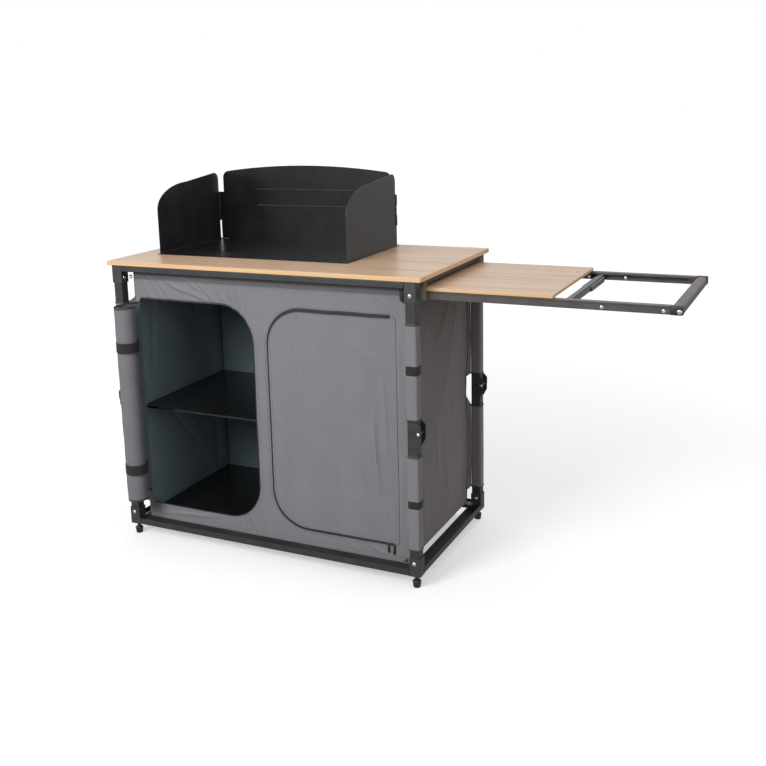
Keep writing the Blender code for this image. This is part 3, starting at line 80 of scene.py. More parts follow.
# %% [markdown]
# The camera stands where the photographer stood: in front, a little to the right and slightly
# above the worktop. Its place was worked out from points whose size is known, such as the
# corners of the worktop and the feet. A small shift puts the picture's middle where it was.

# %% Camera
IMAGE = 766  # the picture's width and height, in pixels
EYE = Vector((1.4159, -2.5084, 1.2573))
VIEW_AZIMUTH, VIEW_HEIGHT, VIEW_ROLL = (math.radians(a) for a in (26.454, 11.836, -1.669))
PIXEL_FOCUS = 1020.87
AXIS_X, AXIS_Y = 353.2, 310.8  # where the lens points, in pixels from the upper left corner
SENSOR = 36

back = Vector((
    math.sin(VIEW_AZIMUTH) * math.cos(VIEW_HEIGHT),
    -math.cos(VIEW_AZIMUTH) * math.cos(VIEW_HEIGHT),
    math.sin(VIEW_HEIGHT),
))
right = (-back).cross(Vector((0, 0, 1))).normalized()
up = back.cross(right)
turned = Matrix((right, up, back)).transposed() @ Matrix.Rotation(VIEW_ROLL, 3, "Z")
camera_data = bpy.data.cameras.new("camera")
camera_data.sensor_width = SENSOR
camera_data.lens = SENSOR * PIXEL_FOCUS / IMAGE
camera_data.shift_x = (IMAGE / 2 - AXIS_X) / IMAGE
camera_data.shift_y = (AXIS_Y - IMAGE / 2) / IMAGE
camera_data.clip_start = 0.05
camera = bpy.data.objects.new("camera", camera_data)
camera.matrix_world = Matrix.Translation(EYE + CENTRE) @ turned.to_4x4()
bpy.context.scene.collection.objects.link(camera)
bpy.context.scene.camera = camera
bpy.context.scene.view_settings.view_transform = "Standard"
print("lens:", round(camera_data.lens, 2), "mm")

# %% [markdown]
# Materials are networks of nodes. A few small helpers are enough: one turns a hex colour, as a
# paint chart gives it, into the linear numbers that a renderer adds up, one starts a material,
# and one adds any node with its settings and links. Most finishes end alike, which the last
# helper does: their gloss changes slowly over the surface, and a fine relief breaks it up.

# %% Helpers for materials
MM = 0.001


def colour(text):
    """A hex sRGB colour as linear red, green, blue and alpha."""
    parts = [int(text[i:i + 2], 16) / 255 for i in (1, 3, 5)]
    return tuple(c / 12.92 if c <= 0.04045 else ((c + 0.055) / 1.055) ** 2.4 for c in parts) + (1.0,)


def finish(name, **sockets):
    """A new material with plain values on its Principled shader."""
    made = bpy.data.materials.new(name)
    made.use_nodes = True
    shader = made.node_tree.nodes["Principled BSDF"]
    for socket, value in sockets.items():
        shader.inputs[socket.replace("_", " ")].default_value = value
    return made


print("half grey counts as", round(colour("#808080")[0], 3))

# %% Nodes and the end of a network
def add(made, kind, links=None, stops=(), out=0, **settings):
    """Adds a node and returns one of its outputs. links holds its inputs, as values or sockets."""
    node = made.node_tree.nodes.new("ShaderNode" + kind)
    for name, value in settings.items():
        setattr(node, name, value)
    for index, (place, shade) in enumerate(stops):
        node.color_ramp.elements[index].position = place
        node.color_ramp.elements[index].color = colour(shade)
    for name, value in (links or {}).items():
        if isinstance(value, bpy.types.NodeSocket):
            made.node_tree.links.new(value, node.inputs[name])
        else:
            node.inputs[name].default_value = value
    return node.outputs[out]


def dress(made, **sockets):
    """Links sockets to the material's Principled shader."""
    shader = made.node_tree.nodes["Principled BSDF"]
    for name, socket in sockets.items():
        made.node_tree.links.new(socket, shader.inputs[name.replace("_", " ")])


def surface(made, base, cloud, rough, relief, strength, depth):
    """Ends a network: its colour, a roughness that follows the cloud, and a bump from the relief."""
    gloss = add(made, "MapRange", {
        "Value": cloud, "From Min": 0.3, "From Max": 0.7, "To Min": rough[0], "To Max": rough[1]})
    bump = add(made, "Bump", {"Height": relief, "Strength": strength, "Distance": depth})
    dress(made, Base_Color=base, Roughness=gloss, Normal=bump)
    return made

# %% [markdown]
# The frame is steel tube and folded channel, powder coated. Powder is sprayed on dry and baked,
# so it melts into a thin skin with a fine orange peel: small soft bumps about 1.5 mm apart that
# break up the gloss. Its grey is a little uneven, and handling leaves it dull in places.

# %% Powder coated steel
def powder_coat(name, shade, worn, rough=(0.42, 0.56)):
    made = finish(name, Metallic=0.0, IOR=1.5)
    place = add(made, "TexCoord", out="Object")
    peel = add(made, "TexNoise", {"Vector": place, "Scale": 1 / (1.5 * MM), "Detail": 1.5})
    dull = add(made, "TexNoise", {
        "Vector": place, "Scale": 1 / (55 * MM), "Detail": 5.0, "Roughness": 0.62})
    rubbed = add(made, "TexNoise", {
        "Vector": place, "Scale": 1 / (9 * MM), "Detail": 6.0, "Roughness": 0.7})
    tone = add(made, "ValToRGB", {"Fac": dull}, stops=((0.34, shade), (0.70, worn)))
    fleck = add(made, "MapRange", {
        "Value": rubbed, "From Min": 0.62, "From Max": 0.78, "To Max": 0.35})
    mixed = add(made, "MixRGB", {"Fac": fleck, "Color1": tone, "Color2": colour(worn)})
    return surface(made, mixed, dull, rough, peel, 0.35, 0.12 * MM)


FRAME_COAT = powder_coat("powder_coated_steel", "#2a2b2c", "#353637")
CORNER_COAT = powder_coat("powder_coated_casting", "#323436", "#3c3e3f")
GUIDE_COAT = powder_coat("champagne_coated_aluminium", "#a3917e", "#bcab98", rough=(0.34, 0.46))
RAIL_COAT = powder_coat("powder_coated_bronze_grey", "#4b4744", "#57524f", rough=(0.34, 0.5))
HANDLE_COAT = powder_coat("powder_coated_brown", "#3b3330", "#48403b", rough=(0.36, 0.5))
print("coats:", FRAME_COAT.name, CORNER_COAT.name, RAIL_COAT.name)

# %% [markdown]
# The windscreen is thin sheet steel with a satin black enamel. Enamel lies flatter than powder,
# so it mirrors more of its surroundings at a shallow angle, and dust and grease lie on it in
# faint clouds.

# %% Satin enamel
def enamel(name, shade, dusty, rough):
    made = finish(name, Metallic=0.0, IOR=1.45)
    place = add(made, "TexCoord", out="Object")
    cloud = add(made, "TexNoise", {
        "Vector": place, "Scale": 1 / (80 * MM), "Detail": 4.0, "Roughness": 0.5})
    grit = add(made, "TexNoise", {"Vector": place, "Scale": 1 / (0.9 * MM), "Detail": 2.0})
    tone = add(made, "ValToRGB", {"Fac": cloud}, stops=((0.36, shade), (0.72, dusty)))
    return surface(made, tone, cloud, rough, grit, 0.15, 0.04 * MM)


# The wings, their edges and the beads wear a lit copy of the enamel: its black is painted lighter, as
# painted reflection on the wings and painted highlight lines on the beads.
LIT_ENAMEL = enamel("satin_black_enamel", "#262526", "#302f31", (0.34, 0.44))
# The windscreen's back and the plate wear a shaded copy of the same enamel: its black is painted darker, as
# painted shade on the back and painted shadow on the plate.
SHADED_ENAMEL = enamel("satin_black_enamel_inside", "#0b0a0e", "#100f14", (0.25, 0.31))
print("enamel:", LIT_ENAMEL.name, SHADED_ENAMEL.name)

# %% [markdown]
# The cupboard's two boards are hardboard under a hard black film, almost a mirror. The film
# shows wiping marks, so its roughness changes slowly, and fine long scratches run across it.

# %% Glossy laminate
SCRATCHES = (12, 900, 12)  # how many to the metre: each is about 80 mm long and 1 mm wide
BOARD_FILM = finish("gloss_black_laminate", IOR=1.5, Metallic=0.0)
place = add(BOARD_FILM, "TexCoord", out="Object")
wiped = add(BOARD_FILM, "TexNoise", {
    "Vector": place, "Scale": 1 / (60 * MM), "Detail": 4.0, "Distortion": 0.6})
long_way = add(BOARD_FILM, "Mapping", {
    "Vector": place, "Scale": SCRATCHES, "Rotation": (0, 0, 0.3)})
scratch = add(BOARD_FILM, "TexNoise", {"Vector": long_way, "Scale": 1.0, "Detail": 2.0})
tone = add(BOARD_FILM, "ValToRGB", {"Fac": wiped}, stops=((0.35, "#101112"), (0.75, "#1a1c1d")))
surface(BOARD_FILM, tone, wiped, (0.12, 0.24), scratch, 0.12, 0.04 * MM)
print("boards:", BOARD_FILM.name)

# %% [markdown]
# The worktop and the side table are pressed bamboo: strips about 20 mm wide glued side by side,
# each with its own tint, fine fibres along its length, and a darker ring here and there where
# the cane had a node. The cut edges are paler and warmer, because they are lacquered end grain.
# The strips run along the worktop. A Brick texture lays out strips with staggered joints, and
# noise that is stretched along the strips draws the fibres.

# %% Lacquered bamboo
def bamboo(name):
    made = finish(name, IOR=1.5, Metallic=0.0, Coat_Weight=0.25, Coat_Roughness=0.25)
    place = add(made, "TexCoord", out="Object")
    strips = add(made, "TexBrick", {
        "Vector": place, "Scale": 1.0, "Brick Width": 620 * MM, "Row Height": 20 * MM,
        "Mortar Size": 0.25 * MM, "Mortar Smooth": 0.6, "Bias": 0.0, "Mortar": (0.05, 0.05, 0.05, 1),
        "Color1": (0.18, 0.18, 0.18, 1), "Color2": (0.82, 0.82, 0.82, 1),
    }, offset=0.37, offset_frequency=2)
    along = add(made, "Mapping", {"Vector": place, "Scale": (3.0, 160, 160)})
    fibre = add(made, "TexNoise", {
        "Vector": along, "Scale": 1.0, "Detail": 8.0, "Roughness": 0.65})
    wide = add(made, "Mapping", {"Vector": place, "Scale": (1.6, 9, 9)})
    cloud = add(made, "TexNoise", {"Vector": wide, "Scale": 1.0, "Detail": 3.0})
    joints = add(made, "Mapping", {"Vector": place, "Scale": (7.5, 50, 50)})
    spots = add(made, "TexVoronoi", {"Vector": joints, "Scale": 1.0, "Randomness": 1.0})
    tone = add(made, "ValToRGB", {"Fac": fibre}, stops=((0.24, "#ad8a6c"), (0.76, "#ccab8b")))
    tint = add(made, "MixRGB", {
        "Fac": 0.28, "Color1": tone, "Color2": strips}, blend_type="SOFT_LIGHT")
    greyed = add(made, "MapRange", {
        "Value": cloud, "From Min": 0.35, "From Max": 0.7, "To Max": 0.35})
    faded = add(made, "MixRGB", {"Fac": greyed, "Color1": tint, "Color2": colour("#c6aa93")})
    ring = add(made, "MapRange", {
        "Value": spots, "From Min": 0.03, "From Max": 0.10, "To Min": 0.35, "To Max": 0.0})
    ringed = add(made, "MixRGB", {"Fac": ring, "Color1": faded, "Color2": colour("#9a7650")})
    facing = add(made, "SeparateXYZ", {"Vector": place.node.outputs["Normal"]}, out="Z")
    level = add(made, "Math", {0: facing}, operation="ABSOLUTE")
    edge = add(made, "MapRange", {
        "Value": level, "From Min": 0.45, "From Max": 0.9, "To Min": 1.0, "To Max": 0.0})
    end_grain = add(made, "ValToRGB", {"Fac": fibre}, stops=((0.25, "#d9ae7c"), (0.75, "#efca99")))
    body = add(made, "MixRGB", {"Fac": edge, "Color1": ringed, "Color2": end_grain})
    height = add(made, "Math", {0: fibre, 1: strips.node.outputs["Fac"]}, operation="SUBTRACT")
    return surface(made, body, fibre, (0.50, 0.36), height, 0.3, 0.08 * MM)


BAMBOO = bamboo("lacquered_bamboo")
print("wood:", BAMBOO.name)

# %% [markdown]
# Rivets are steel with a bright zinc plating, which keeps the fine lines of turning and
# polishing. The feet and the small hooks are moulded nylon, slightly waxy, with a fine
# spark-eroded grain.

# %% Zinc and nylon
def drawn_metal(name, shade, dark, rough, stretch):
    made = finish(name, Metallic=1.0)
    place = add(made, "TexCoord", out="Object")
    lines = add(made, "Mapping", {"Vector": place, "Scale": stretch})
    drawn = add(made, "TexNoise", {"Vector": lines, "Scale": 1.0, "Detail": 4.0})
    tone = add(made, "ValToRGB", {"Fac": drawn}, stops=((0.3, dark), (0.7, shade)))
    return surface(made, tone, drawn, rough, drawn, 0.2, 0.05 * MM)


def moulded(name, shade, pale, rough):
    made = finish(name, IOR=1.53, Metallic=0.0)
    place = add(made, "TexCoord", out="Object")
    grain = add(made, "TexVoronoi", {"Vector": place, "Scale": 1 / (0.8 * MM)})
    cloud = add(made, "TexNoise", {"Vector": place, "Scale": 1 / (14 * MM), "Detail": 4.0})
    tone = add(made, "ValToRGB", {"Fac": cloud}, stops=((0.35, shade), (0.7, pale)))
    return surface(made, tone, cloud, rough, grain, 0.3, 0.06 * MM)


ZINC = drawn_metal("zinc_plated_steel", "#eeeeea", "#c4c6c4", (0.16, 0.3), (300, 300, 300))
NYLON = moulded("moulded_black_nylon", "#17181a", "#232427", (0.42, 0.58))
print("metal:", ZINC.name, "plastic:", NYLON.name)

# %% [markdown]
# The cupboard is polyester oxford cloth with a coated, bluish inner side. Its yarns lie 0.5 mm
# apart, too fine for this picture, so the weave is drawn 1.4 mm apart. The yarns are never
# quite even: some are thicker for a few centimetres, which gives the cloth its faint streaks.
# The pattern follows each piece's own UV map, which holds real metres along and across the
# cloth, so it bends with every fold.

# %% Woven cloth
WEAVE = 1.4 * MM


def woven(name, shade, pale, pitch=WEAVE, rough=(0.78, 0.92), depth=0.12, sheen=0.12, rib=1.0):
    made = finish(name, IOR=1.5, Metallic=0.0, Sheen_Weight=sheen, Sheen_Roughness=0.5)
    cloth = add(made, "UVMap", uv_map="cloth")
    yarns, slubs = [], []
    for axis, apart, stretch in (("X", pitch, (420, 14, 1)), ("Y", pitch * rib, (14, 420, 1))):
        run = add(made, "SeparateXYZ", {"Vector": cloth}, out=axis)
        turns = add(made, "Math", {0: run, 1: 2 * math.pi / apart}, operation="MULTIPLY")
        yarns.append(add(made, "Math", {0: turns}, operation="SINE"))
        streaks = add(made, "Mapping", {"Vector": cloth, "Scale": stretch})
        slubs.append(add(made, "TexNoise", {"Vector": streaks, "Scale": 1.0, "Detail": 2.0}))
    over_under = add(made, "Math", {0: yarns[0], 1: yarns[1]}, operation="MULTIPLY")
    slub = add(made, "Math", {0: slubs[0], 1: slubs[1]}, operation="ADD")
    cloud = add(made, "TexNoise", {
        "Vector": cloth, "Scale": 1 / (70 * MM), "Detail": 5.0, "Roughness": 0.6})
    mixed = add(made, "Math", {0: over_under, 1: 0.08, 2: slub}, operation="MULTIPLY_ADD")
    toned = add(made, "Math", {0: cloud, 1: 1.2, 2: mixed}, operation="MULTIPLY_ADD")
    tone = add(made, "MapRange", {"Value": toned, "From Min": 0.9, "From Max": 2.3})
    body = add(made, "MixRGB", {"Fac": tone, "Color1": colour(shade), "Color2": colour(pale)})
    height = add(made, "Math", {0: over_under, 1: 0.5, 2: slub}, operation="MULTIPLY_ADD")
    return surface(made, body, cloud, rough, height, 0.3, depth * MM)


OXFORD = woven("grey_polyester_oxford", "#77767a", "#868589")
SIDE_OXFORD = woven("grey_polyester_oxford_side", "#76716f", "#85807e")
# The coated lining is one cloth in two copies: the one on the front, back and rolled door is painted darker,
# as painted shade against the light falling straight onto the back wall, and the one on the side walls is
# painted lighter, as painted light where no lamp reaches.
LINER_PAINTED_DARK = woven("coated_cloth_lining", "#55636b", "#647279", rough=(0.5, 0.64), depth=0.05, sheen=0.05)
SIDE_LINER_PAINTED_LIGHT = woven("coated_cloth_lining_side", "#7b8d97", "#8c9da7",
                    rough=(0.5, 0.64), depth=0.05, sheen=0.05)
# The rolled door is the same oxford as the panels, painted darker as painted shade on the roll.
ROLL_PAINTED_SHADE = woven("grey_polyester_oxford_rolled", "#6c6b6f", "#7a797d")
SLEEVE_CLOTH = woven("brushed_sleeve_cloth", "#79767a", "#868387", depth=0.09, sheen=0.2)
WEBBING = woven("ribbed_nylon_webbing", "#171515", "#242121", pitch=2.2 * MM, depth=0.35, sheen=0.1, rib=1.3)
ZIP_TAPE = woven("zip_tape", "#343536", "#434445", pitch=1.1 * MM, depth=0.08)
print("cloths:", OXFORD.name, LINER_PAINTED_DARK.name, SLEEVE_CLOTH.name, WEBBING.name, ZIP_TAPE.name)

# %% [markdown]
# Thread and zip teeth are hundreds of tiny repeats, so each is a small block, and their finish
# is a plain polyester thread and a moulded nylon coil with a little noise in tone.

# %% Thread and coil
THREAD = moulded("polyester_thread", "#5f5e61", "#717073", (0.6, 0.75))
COIL = moulded("nylon_zip_coil", "#1b1b1c", "#2a2a2b", (0.3, 0.45))
print("thread:", THREAD.name, "coil:", COIL.name)

# %% [markdown]
# The rigid pieces stay as the CAD model has them. Each names the slot that it was given there,
# and the finish goes by that slot. Three pieces have one of their own: the handle bar is browner
# than its rails, and the windscreen's back and plate are glossier than the wings and painted
# darker, as painted shade.

# %% Finishes on the CAD nodes
FINISH_OF = {
    "frame_metal": FRAME_COAT, "corner_metal": CORNER_COAT, "foot_plastic": NYLON,
    "worktop_wood": BAMBOO, "panel_wood": BAMBOO, "shelf_black": BOARD_FILM,
    "screen_black": LIT_ENAMEL, "slide_metal": RAIL_COAT, "guide_metal": GUIDE_COAT,
    "pull_plastic": RAIL_COAT,
}
OWN_FINISH = {"pull_handle_bar": HANDLE_COAT, "screen_back": SHADED_ENAMEL, "screen_plate": SHADED_ENAMEL}
dressed = 0
for name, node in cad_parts.items():
    for holder in node.material_slots:
        key = holder.material.name.split(".")[0]
        if key in FINISH_OF:
            holder.material = OWN_FINISH.get(name, FINISH_OF[key])
            dressed += 1
print("finishes set on", dressed, "of", len(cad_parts), "nodes")

# %% [markdown]
# The cloth panels hang from the top rails round the two boards. Each starts as a flat grid, as
# cloth on a cutting table: x along the panel and y up. The doors are cut out of it, its UV map
# is written while it is still flat, and only then is each point moved to where the hung cloth
# has it. Solidify gives it two sides at the end, the inner one with the coated lining.

# %% Sizes of the cupboard
CLOTH = 1.4 * MM
HALF_X, HALF_Y = 0.422, 0.212
FACE_X, FACE_Y = HALF_X + CLOTH / 2, HALF_Y + CLOTH / 2
DOOR_LOW, DOOR_HIGH = 0.094, 0.711
LEFT_DOOR, RIGHT_DOOR = (-0.409, -0.032), (0.391, 0.012)
ROUND, TIGHT = 0.105, 0.010
HEM_LOW, HEM_HIGH = 0.046, 0.790
CELL = 3.5 * MM
PANEL_X = HALF_X - 0.0009  # the front and back panels stop just short of the corner seams
DOOR_GAP = 0.0013  # between the right door and the panel, under the zip
SEAM = 0.012  # the cloth is flat this close to a seam across the panel
LEFT_WAVE, RIGHT_WAVE = (0.2094, 0.7854), (0.1366, -2.0944)
BACK_WAVE = (0.2992, 1.2566)
print("cupboard:", 2 * HALF_X, "by", 2 * HALF_Y, "m")


def fade(value, start, end, edge):
    """0 at both ends of a span and 1 inside it, with soft edges."""
    near = max(0.0, min(1.0, min(value - start, end - value) / edge))
    return near * near * (3 - 2 * near)


def wave(across, height, lengths):
    """Soft fold, 0 to 1, that repeats over one length across and another upwards."""
    return 0.5 + 0.5 * math.cos(2 * math.pi * (across / lengths[0] + height / lengths[1]))

# %% [markdown]
# Hung cloth isn't simulated here: it is pulled tight between rails and boards, so what it shows
# is a handful of tension lines, and those are placed one by one. A crease is a ridge along a short
# line, highest in its middle. Slow noise on top keeps the cloth between them from being flat.

# %% Creases
def creases(across, height, lines):
    """Height in metres of all tension lines at one point of a panel."""
    total = 0.0
    for x0, z0, x1, z1, width, rise in lines:
        run_x, run_z = x1 - x0, z1 - z0
        length = math.hypot(run_x, run_z)
        share = ((across - x0) * run_x + (height - z0) * run_z) / length ** 2
        if 0.0 < share < 1.0:
            off = ((across - x0) * run_z - (height - z0) * run_x) / length
            total += rise * math.sin(math.pi * share) ** 0.7 * math.exp(-(off / width) ** 2)
    return total


def ripple(across, height, seed, size=0.06, rise=0.0011):
    """Slow unevenness of hung cloth."""
    return rise * (0.6 + noise.noise(Vector((across / size, height / (size * 1.7), seed))))


print("a crease stands out", creases(0, 0, ((-1, 0, 1, 0, 0.004, 0.005),)), "m in its middle")

# %% [markdown]
# These are the front panel's lines, one by one: where each starts and ends, across from the
# worktop's middle and up from the floor, then how wide it is and how far it stands out.

# %% The front panel's lines
FRONT_LINES = (
    # puckers between the top hem and the left opening
    (-0.392, 0.770, -0.364, 0.710, 0.0040, 0.0052), (-0.364, 0.770, -0.326, 0.712, 0.0040, 0.0058),
    (-0.342, 0.770, -0.296, 0.714, 0.0042, 0.0038), (-0.320, 0.770, -0.244, 0.734, 0.0040, 0.0054),
    (-0.280, 0.754, -0.165, 0.718, 0.0044, 0.0062), (-0.204, 0.770, -0.146, 0.714, 0.0040, 0.0054),
    (-0.118, 0.770, -0.086, 0.694, 0.0040, 0.0052), (-0.094, 0.770, -0.062, 0.680, 0.0040, 0.0050),
    (-0.066, 0.770, -0.042, 0.646, 0.0042, 0.0034), (-0.240, 0.770, -0.186, 0.740, 0.0040, 0.0038),
    (-0.156, 0.768, -0.114, 0.714, 0.0040, 0.0038),
    # puckers in the hem itself
    (-0.388, 0.796, -0.354, 0.762, 0.0034, 0.0039), (-0.266, 0.796, -0.228, 0.762, 0.0034, 0.0036),
    (-0.334, 0.796, -0.300, 0.764, 0.0034, 0.0028), (-0.150, 0.796, -0.106, 0.764, 0.0040, 0.0025),
    (-0.210, 0.796, -0.178, 0.764, 0.0034, 0.0022), (0.300, 0.796, 0.330, 0.764, 0.0040, 0.0014),
    # the fold between the doors, and puckers below the left opening
    (-0.010, 0.800, -0.050, 0.030, 0.0040, 0.0022), (-0.146, 0.094, -0.144, 0.050, 0.0032, 0.0025),
    (-0.129, 0.098, -0.124, 0.050, 0.0032, 0.0031), (-0.112, 0.104, -0.104, 0.052, 0.0032, 0.0031),
    (-0.092, 0.114, -0.080, 0.052, 0.0032, 0.0034), (-0.070, 0.116, -0.046, 0.054, 0.0036, 0.0042),
    (-0.034, 0.130, -0.022, 0.050, 0.0040, 0.0025), (-0.380, 0.066, -0.170, 0.082, 0.0050, 0.0025),
    # the right door and the strip beside it
    (0.322, 0.470, 0.338, 0.230, 0.0052, 0.0051), (0.268, 0.400, 0.296, 0.240, 0.0062, 0.0036),
    (0.352, 0.560, 0.362, 0.330, 0.0062, 0.0033), (0.060, 0.520, 0.050, 0.160, 0.0120, 0.0014),
    (0.130, 0.430, 0.118, 0.120, 0.0110, 0.0014), (0.205, 0.400, 0.196, 0.120, 0.0110, 0.0012),
    (0.240, 0.300, 0.262, 0.110, 0.0100, 0.0010), (0.318, 0.220, 0.345, 0.100, 0.0090, 0.0012),
    (0.380, 0.230, 0.376, 0.100, 0.0080, 0.0014), (0.330, 0.764, 0.404, 0.726, 0.0060, 0.0022),
    (0.280, 0.766, 0.330, 0.744, 0.0060, 0.0016), (0.396, 0.690, 0.402, 0.480, 0.0060, 0.0024),
    (0.404, 0.340, 0.398, 0.110, 0.0060, 0.0024), (0.270, 0.640, 0.366, 0.566, 0.0080, 0.0016),
    (0.300, 0.086, 0.352, 0.058, 0.0045, 0.0022), (0.230, 0.088, 0.270, 0.058, 0.0045, 0.0018),
)
print("front panel:", len(FRONT_LINES), "lines")

# %% [markdown]
# The sleeves on the legs pull the box's corners outwards. Between the corners the cloth swells
# forwards a little, and along its seams it is held flat.

# %% Where the front panel hangs
LOW_SLEEVE, HIGH_SLEEVE = (0.105, 0.361), (0.455, 0.705)


def tug(z, inside):
    """How far the leg sleeves pull the cupboard's corner outwards, at a distance inside it."""
    pull = max(fade(z, *LOW_SLEEVE, 0.05), fade(z, *HIGH_SLEEVE, 0.05))
    return 0.0035 * pull * max(0.0, 1.0 - max(0.0, inside) / 0.05) ** 2


def front_swell(x, z):
    """How far the front panel stands forward of its flat plane."""
    hold = fade(z, DOOR_LOW - 0.030, 0.778, 0.08)
    left = fade(x, LEFT_DOOR[0] + 0.0315, RIGHT_DOOR[1], 0.05) * wave(x, z, LEFT_WAVE)
    right = fade(x, RIGHT_DOOR[1] - 0.020, 0.362, 0.06) * wave(x, z, RIGHT_WAVE)
    pinned = fade(x, -HALF_X, HALF_X, SEAM) * fade(z, HEM_LOW, 0.776, 0.010)
    return 0.0026 * hold * max(left, right) + pinned * (creases(x, z, FRONT_LINES) + ripple(x, z, 1.0))


def front_at(x, z, lift=0.0):
    out = tug(z, HALF_X - abs(x))
    return Vector((x + math.copysign(out, x), -FACE_Y - front_swell(x, z) - out - lift, z))


print("front panel, middle:", [round(v, 4) for v in front_at(0.2, 0.4)])

# %% [markdown]
# A door's outline has a wide curve on its free side, where the zip has to run round it, and a
# nearly square corner on its sewn side. To cut it from the grid, every edge that crosses the
# outline has its nearer end slid onto it. Squares that are still crossed then have two corners
# on the outline, and are split between them, so the cut is smooth however coarse the grid is.

# %% A door's outline and a flat cloth
def door_distance(x, z, door, grow=0.0):
    """Metres from a point to a door's outline, negative inside it. door is (hinge, free side)."""
    middle_x, middle_z = (door[0] + door[1]) / 2, (DOOR_LOW + DOOR_HIGH) / 2
    radius = (ROUND if (x - middle_x) * (door[1] - door[0]) > 0 else TIGHT) + grow
    off_x = abs(x - middle_x) - abs(door[1] - door[0]) / 2 - grow + radius
    off_z = abs(z - middle_z) - (DOOR_HIGH - DOOR_LOW) / 2 - grow + radius
    return min(max(off_x, off_z), 0.0) + math.hypot(max(off_x, 0.0), max(off_z, 0.0)) - radius


def grid(columns, rows):
    """A flat grid one metre wide and tall, round the origin."""
    work = bmesh.new()
    bmesh.ops.create_grid(work, x_segments=columns, y_segments=rows, size=0.5)
    return work


def flat_cloth(across, upwards, cell=CELL):
    """A flat grid of cloth over the two spans."""
    wide, tall = across[1] - across[0], upwards[1] - upwards[0]
    work = grid(max(1, round(wide / cell)), max(1, round(tall / cell)))
    bmesh.ops.scale(work, vec=(wide, tall, 1), verts=work.verts)
    bmesh.ops.translate(work, vec=(sum(across) / 2, sum(upwards) / 2, 0), verts=work.verts)
    return work


print("door's middle to its edge:", round(-door_distance(sum(RIGHT_DOOR) / 2, 0.4, RIGHT_DOOR), 4), "m")

# %% Cutting a panel
NEAR = 2e-5  # closer to the line than this, in metres, counts as on it


def cut_out(work, distance, keep):
    """Cuts a grid along distance = 0 and keeps its inside (-1) or its outside (1)."""
    step = 1e-5
    for _ in range(3):
        far = {v: distance(v.co.x, v.co.y) for v in work.verts}
        for edge in work.edges:
            a, b = edge.verts
            if far[a] * far[b] < 0 and min(abs(far[a]), abs(far[b])) > 1e-6:
                near = a if abs(far[a]) < abs(far[b]) else b
                slope_x = (distance(near.co.x + step, near.co.y) - far[near]) / step
                slope_y = (distance(near.co.x, near.co.y + step) - far[near]) / step
                steep = max(1.0, slope_x ** 2 + slope_y ** 2)
                near.co.x -= far[near] * slope_x / steep
                near.co.y -= far[near] * slope_y / steep
                far[near] = 0.0
    far = {v: distance(v.co.x, v.co.y) for v in work.verts}
    for face in list(work.faces):
        signs = [far[v] for v in face.verts]
        on_line = [v for v in face.verts if abs(far[v]) < NEAR]
        if max(signs) > NEAR and min(signs) < -NEAR and len(on_line) == 2:
            if work.edges.get(on_line) is None:
                bmesh.utils.face_split(face, on_line[0], on_line[1])
    gone = [f for f in work.faces if sum(far[v] for v in f.verts) * keep < 0]
    bmesh.ops.delete(work, geom=gone, context="FACES")

# %% [markdown]
# While a cloth is flat, the x and y of its points are also its measures, so they become its UV
# map before the points move. A ribbon, a tube or a roll is a grid of one metre that is bent:
# there the share of the way along it and up it says where each point goes.

# %% Laying a grid out
def lay(work, place_at, cloth_at=lambda x, y: (x, y)):
    """Writes the UV map, in metres, and moves each point to its place, both by its flat x and y."""
    flat = work.loops.layers.uv.new("cloth")
    for face in work.faces:
        for loop in face.loops:
            loop[flat].uv = cloth_at(loop.vert.co.x, loop.vert.co.y)
    for vert in work.verts:
        vert.co = place_at(vert.co.x, vert.co.y)


def bend(work, place_at, cloth_at):
    """Lays a grid of one metre by the share of the way along it and up it, each 0 to 1."""
    lay(work, lambda x, y: place_at(x + 0.5, y + 0.5), lambda x, y: cloth_at(x + 0.5, y + 0.5))
    return work

# %% [markdown]
# Every finished bmesh becomes an object in the same way: its mesh is moved to its real place,
# it gets its finishes and its slot, and it rides on the body that carries it. Cloth is then
# thickened, by default inwards. It comes last, because it keeps a copy of the final mesh.

# %% From bmesh to piece
CRISP = math.radians(40)


def piece(work, name, body, finishes):
    """Makes the object, gives its mesh the finishes and rides it on its body."""
    bmesh.ops.translate(work, vec=CENTRE, verts=work.verts)
    mesh = bpy.data.meshes.new(name)
    work.to_mesh(mesh)
    work.free()
    for made in finishes:
        mesh.materials.append(made)
    mesh.shade_smooth()
    mesh.set_sharp_from_angle(angle=CRISP)
    thing = bpy.data.objects.new(name, mesh)
    bpy.context.scene.collection.objects.link(thing)
    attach(thing, body)
    print(f"{name}: {len(mesh.polygons)} faces")
    return thing

# %% Thickness, folding and joining
def thicken(thing, thickness, lining=0, offset=-1.0):
    """Gives a sheet its thickness, away from the side that its faces look to."""
    wall = thing.modifiers.new("thickness", "SOLIDIFY")
    wall.thickness = thickness
    wall.offset = offset
    wall.use_even_offset = True
    wall.material_offset = lining
    graph = bpy.context.evaluated_depsgraph_get()
    solid = bpy.data.meshes.new_from_object(thing.evaluated_get(graph))
    thing.modifiers.clear()
    thing.data = solid
    solid.shade_smooth()
    solid.set_sharp_from_angle(angle=CRISP)
    return thing


def folds_flat(thing):
    """Gives the piece its own copy of its mesh."""
    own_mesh(thing)


def pour(part, work):
    """Adds a finished bmesh to work."""
    mesh = bpy.data.meshes.new("part")
    part.to_mesh(mesh)
    part.free()
    work.from_mesh(mesh)
    bpy.data.meshes.remove(mesh)

# %% [markdown]
# The front panel has the finest grid, because its puckers are the narrowest. The right door is
# cut to the same outline as its opening, which is a little larger so that the two don't touch.

# %% Front panel and right door
def hang(work, point, name, body, node, finishes=(OXFORD, LINER_PAINTED_DARK)):
    """Hangs a flat cloth and gives it its two sides. It takes the place of a CAD node."""
    lay(work, point)
    cloth = thicken(piece(work, name, body, finishes), CLOTH, lining=1)
    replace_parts(cloth, node)
    return cloth


